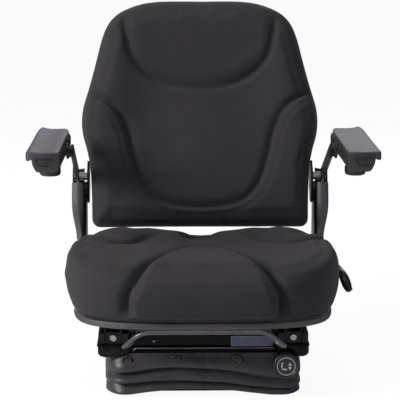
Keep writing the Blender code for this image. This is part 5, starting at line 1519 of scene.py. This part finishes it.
@dataclass
class ArmrestBody:
    """The moulded body under an armrest's top: a tapered trough, a half-moon end, ribs inside and a boss."""

    side_name: str
    inner: float = 0.2455
    outer: float = 0.2935
    front: float = -0.2052
    rear: float = 0.096
    low: float = 0.4115
    high: float = 0.4362
    splay: float = 0.0045
    wall_top: float = 0.4446
    tilt: Flat = (-0.030, 0.4220)
    boss: Point = (0.2390, 0.0113, 0.0146)
    moon: Flat = (0.2725, 0.4372)
    moon_radius: float = 0.0150
    rib: Point = (0.0030, 0.0034, 0.0170)
    rib_spacing: float = 0.0120

    def section(self, y: float, shrink: float) -> list[Point]:
        """Return the body's section at a place along it, narrower at its foot."""
        share = (y - self.front) / (self.rear - self.front)
        shift = self.splay * (1 - share)
        low = self.low + shrink + 0.0050 * float(smoothstep(share, 0.72, 1.0))
        inner, outer = self.inner + 0.0015 * share + shrink, self.outer - 0.006 * share ** 2 - shrink
        corners = ((inner + 0.0015, low + 0.0040), (inner + 0.0040, low + 0.0008), (inner + 0.0090, low),
                   (outer - 0.0150, low), (outer - 0.0090, low + 0.0010), (outer - 0.0055, low + 0.0045),
                   (outer - 0.0015, low + 0.0130), (outer, self.high - 0.0040), (outer, self.high),
                   (inner, self.high), (inner, low + 0.0100))
        return [(x + shift, y, z) for x, z in corners]

    def half_moon(self, side: float) -> Skin:
        """Return the half-moon of the front end: a raised disc with a round lip."""
        centre_x, centre_z = side * (self.moon[0] + self.splay), self.moon[1]
        face = self.front - 0.0008
        arc = []
        for step in range(29):
            angle = math.pi * (1 + step / 28)
            arc.append((side * (self.moon[0] + self.splay + self.moon_radius * math.cos(angle)),
                        centre_z + self.moon_radius * math.sin(angle)))
        inner = [(centre_x + (x - centre_x) * 0.86, centre_z + (z - centre_z) * 0.86) for x, z in arc]
        lip = tube([Vector((x, face - 0.0002, z)) for x, z in arc], [(0.0011, 0.0009)] * len(arc), 10)
        return merged([slab(inner, upright, face - 0.0012, face + 0.0030), lip])

    def build(self) -> None:
        """Build the body, its front wall, the tilt boss, the half-moon and the ribs."""
        side = SIDES[self.side_name]
        body = f"armrest_{self.side_name}"
        rows = [(self.front, 0.0009), (self.front + 0.0009, 0.0)]
        rows += [(float(y), 0.0) for y in np.linspace(self.front + 0.01, self.rear - 0.004, 16)]
        rows += [(self.rear - 0.0010, 0.0006), (self.rear, 0.0022)]
        rings = [[(side * x, y, z) for x, y, z in self.section(y, shrink)] for y, shrink in rows]
        fitted(f"armrest_trough_{self.side_name}", loft(rings), GRAINED_POLYPROPYLENE, body, "plastic",
               f"armrest_body_{self.side_name}", bevel=(0.0012, 3))
        inner, outer = self.inner + self.splay, self.outer + self.splay
        wall = [(side * x, z) for x, z in (
            (inner, self.low + 0.010), (outer - 0.0015, self.low + 0.013), (outer, self.high),
            (outer - 0.0004, self.wall_top), (inner, self.wall_top))]
        fitted(f"armrest_end_wall_{self.side_name}",
               slab(wall, upright, self.front - 0.0006, self.front + 0.0016), GRAINED_POLYPROPYLENE, body,
               "plastic", bevel=(0.0005, 2))
        near, radius, flange = self.boss
        profile = ((0.0, 0.0), (0.0060, 0.0), (0.0064, 0.0004), (radius, 0.0004), (radius, 0.0030),
                   (flange - 0.0020, 0.0038), (flange, 0.0050), (flange, 0.0075), (0.0, 0.0130))
        fitted(f"tilt_boss_{self.side_name}", turned(profile, (side * near, *self.tilt), (side, 0, 0), 36),
               SMOOTH_POLYAMIDE, body, "plastic", sharp=40)
        fitted(f"armrest_half_moon_{self.side_name}", self.half_moon(side), SMOOTH_POLYAMIDE, body, "plastic",
               bevel=(0.0005, 2))
        rib_x = side * (self.inner + 0.0012)
        line = [(rib_x + side * self.splay * (1 - share), self.front + 0.012 + 0.270 * share, 0.4265)
                for share in (0.0, 0.25, 0.5, 0.75, 1.0)]
        row = RepeatTree(f"rest_rib_row_{self.side_name}", self.rib, self.rib_spacing, GRAINED_POLYPROPYLENE)
        settle(row.along(f"armrest_ribs_{self.side_name}", line), body, "plastic")


@dataclass
class TiltWheel:
    """The fluted wheel under an armrest that sets its tilt."""

    side_name: str
    x: float = 0.2715
    y: float = -0.120
    low: float = 0.3930
    high: float = 0.4104
    radius: float = 0.0183
    flute: Point = (0.0018, 0.0011, 0.0100)
    flutes: int = 28

    def build(self) -> None:
        """Build the wheel and its flutes."""
        x = SIDES[self.side_name] * self.x
        body = f"tilt_wheel_{self.side_name}"
        tall = self.high - self.low
        profile = ((0.0, 0.0012), (0.0100, 0.0012), (0.0115, 0.0002), (0.0155, 0.0), (0.0176, 0.0014),
                   (self.radius, 0.0036), (self.radius, tall - 0.0030), (self.radius - 0.0012, tall),
                   (0.0, tall))
        fitted(f"tilt_wheel_disc_{self.side_name}", turned(profile, (x, self.y, self.low), (0, 0, 1), 64),
               SMOOTH_POLYAMIDE, body, "plastic", f"armrest_wheel_{self.side_name}", sharp=50)
        loop = [(x + u, self.y + v, self.low + tall * 0.55) for u, v in circle(72, self.radius)]
        row = RepeatTree(f"wheel_flute_row_{self.side_name}", self.flute,
                         math.tau * self.radius / self.flutes, SMOOTH_POLYAMIDE)
        settle(row.along(f"wheel_flutes_{self.side_name}", loop, closed=True), body, "plastic")


@dataclass
class SideCover:
    """A hinge's smooth convex cover: a wrapped front, a rear wall and an ear by the armrest's plate."""

    side_name: str
    back: BackCushion
    inner: float = 0.2244
    outer: float = 0.2475
    wall: float = 0.0020
    bend: float = 0.0068
    crown: float = 0.0028
    low: float = -0.092
    top: float = 0.0165
    ear: float = 0.0520

    def reach(self, up: float) -> tuple[float, float, float]:
        """Return the outer wall's x, the front's depth and the rear's depth at a height."""
        below = float(smoothstep(-up, 0.015, 0.090))
        outer = self.outer - 0.0085 * below ** 1.5 - 0.0008 * float(smoothstep(up, 0.0, 0.05))
        front = -0.0380 + 0.0165 * below ** 1.4 + 0.0120 * float(smoothstep(up, 0.022, 0.060))
        rear = 0.0235 - 0.0150 * below ** 1.4 - 0.0150 * float(smoothstep(up, 0.020, 0.060))
        return outer, front, rear

    def section(self, up: float) -> list[Flat]:
        """Return the closed section of the wrapped wall at a height, as places across and depths."""
        outer, front, rear = self.reach(up)
        near = self.inner + 0.0012
        skin = [(self.inner, rear * 0.3), (self.inner, front + 0.006), (near, front + 0.0015)]
        for step in range(1, 12):
            share = step / 12
            x = near + (outer - self.bend - near) * share
            skin.append((x, front + 0.0015 * (1 - share) - self.crown * math.sin(math.pi * share * 0.9)))
        for step in range(7):
            turn = math.pi / 2 * step / 6
            skin.append((outer - self.bend + self.bend * math.sin(turn),
                         front - 0.0009 + self.bend * (1 - math.cos(turn))))
        skin += [(outer, front + 0.016), (outer, (front + rear) / 2), (outer - 0.0004, rear)]
        inside = [(max(self.inner + self.wall * 0.7, min(x, outer - self.wall)),
                   max(depth, front + self.wall) if number < len(skin) - 1 else depth)
                  for number, (x, depth) in enumerate(skin)]
        return skin + inside[::-1]

    def build(self) -> None:
        """Build the cover, its ear and its rear wall."""
        side = SIDES[self.side_name]

        def place(x: float, up: float, depth: float) -> Point:
            return self.back.place(side * x, depth, up)

        def place_sideways(depth: float, up: float, x: float) -> Point:
            return place(x, up, depth)

        rings = [[place(x, up, depth) for x, depth in self.section(up)]
                 for up in map(float, np.linspace(self.low, self.top, 34))]
        fitted(f"hinge_cover_{self.side_name}", loft(rings), COVER_POLYPROPYLENE, "backrest", "plastic",
               f"side_cover_{self.side_name}", sharp=60)
        ear = ((-0.0290, self.top - 0.002), (-0.0280, 0.034), (-0.0225, 0.046), (-0.0130, self.ear),
               (-0.0030, self.ear), (0.0060, 0.046), (0.0125, 0.034), (0.0200, self.top - 0.002))
        fitted(f"hinge_cover_ear_{self.side_name}",
               slab(ear, place_sideways, self.outer - 0.0034, self.outer - 0.0010), COVER_POLYPROPYLENE,
               "backrest", "plastic", bevel=(0.0009, 2))
        behind = ((self.inner, 0.010), (self.outer - 0.0030, 0.010), (self.outer - 0.0030, 0.044),
                  (self.inner, 0.048))
        fitted(f"hinge_cover_rear_{self.side_name}", slab(behind, place, 0.0055, 0.0075), COVER_POLYPROPYLENE,
               "backrest", "plastic", bevel=(0.0005, 2))


@dataclass
class LeverGrip:
    """The flat paddle at the end of the recline lever, with a few finger ribs."""

    route: tuple[Point, ...] = (
        (0.2612, 0.020, 0.1862), (0.2622, 0.002, 0.1868), (0.2640, -0.012, 0.1830), (0.2672, -0.0225, 0.1752),
        (0.2705, -0.0300, 0.1655), (0.2735, -0.0360, 0.1570))
    radii: tuple[Flat, ...] = (
        (0.0048, 0.0050), (0.0064, 0.0060), (0.0085, 0.0066), (0.0096, 0.0066), (0.0088, 0.0060),
        (0.0052, 0.0036))
    rib: Flat = (0.0092, 0.0071)
    rib_half: float = 0.0007

    def build(self) -> None:
        """Build the paddle over the lever's arm."""
        fitted("lever_paddle", tube([Vector(place) for place in self.route], self.radii, 28),
               SMOOTH_POLYAMIDE, "lever", "plastic", finer=2)
        start, end = Vector(self.route[2]), Vector(self.route[4])
        way = (end - start).normalized()
        ribs = []
        for number in range(4):
            place = start.lerp(end, 0.15 + number * 0.22)
            ribs.append(tube([place - way * self.rib_half, place + way * self.rib_half], [self.rib] * 2, 28))
        fitted("lever_paddle_ribs", merged(ribs), SMOOTH_POLYAMIDE, "lever", "plastic")


@dataclass
class RailFoot:
    """The moulded foot that closes the front end of a lower rail, with two round bosses."""

    side_name: str
    inner: float = 0.1335
    outer: float = 0.1880
    low: float = 0.0745
    high: float = 0.0950
    front: float = -0.1765
    back: float = -0.1690

    def build(self) -> None:
        """Build the foot below the slider's way."""
        side = SIDES[self.side_name]
        outline = ((self.inner + 0.0040, self.low + 0.0030), (self.inner + 0.0090, self.low),
                   (self.outer - 0.0110, self.low - 0.0012), (self.outer - 0.0040, self.low + 0.0010),
                   (self.outer, self.low + 0.0060), (self.outer, self.high), (self.inner, self.high),
                   (self.inner, self.low + 0.0080))
        parts = [slab([(side * x, z) for x, z in outline], upright, self.front, self.back)]
        profile = ((0.0, 0.0022), (0.0026, 0.0022), (0.0030, 0.0012), (0.0052, 0.0012), (0.0056, 0.0018),
                   (0.0066, 0.0016), (0.0068, -0.0010), (0.0, -0.0010))
        for x in (self.inner + 0.0150, self.outer - 0.0140):
            parts.append(turned(profile, (side * x, self.front, (self.low + self.high) / 2), FORWARD, 28))
        fitted(f"rail_foot_{self.side_name}", merged(parts), GLOSS_POLYAMIDE, "suspended_frame", "plastic",
               bevel=(0.0007, 2))


def dress_carried_nodes() -> None:
    """Give every CAD node its real finish by its slot, and the recline lever its own."""
    slots = {part["node"]: part["material_slot"] for part in frame["record"]["subparts"]}
    for name, node in frame["nodes"].items():
        finish = SMOOTH_POLYAMIDE if name == "recline_lever" else SLOT_FINISHES[slots[name]]
        node.data.materials.clear()
        node.data.materials.append(finish.material())
    LOG.info("%d carried nodes dressed", len(slots))


def main() -> None:
    """Build the scene piece by piece and report each one."""
    Studio().build()
    dress_carried_nodes()
    cushion = SeatCushion("seat_cushion_of_knitted_cloth", "seat_cushion", "seat")
    back = BackCushion("backrest_cushion_of_knitted_cloth", "backrest_cushion", "backrest")
    boot = FoldedBoot()
    clips = [BootClip(number, x) for number, x in enumerate((-0.051, 0.059, -0.137), 1)]
    for whole in (cushion, PanRim(cushion), back, boot, BootSeam(boot), ReleaseBar(), FrontPlateDetails(),
                  KnobFace(), *clips):
        whole.build()
    for side_name in SIDES:
        for half in (ArmrestTop(side_name), ArmrestBody(side_name), TiltWheel(side_name),
                     SideCover(side_name, back), CoilSpring(side_name), RailFoot(side_name)):
            half.build()
    LeverGrip().build()


if __name__ == "__main__":
    main()
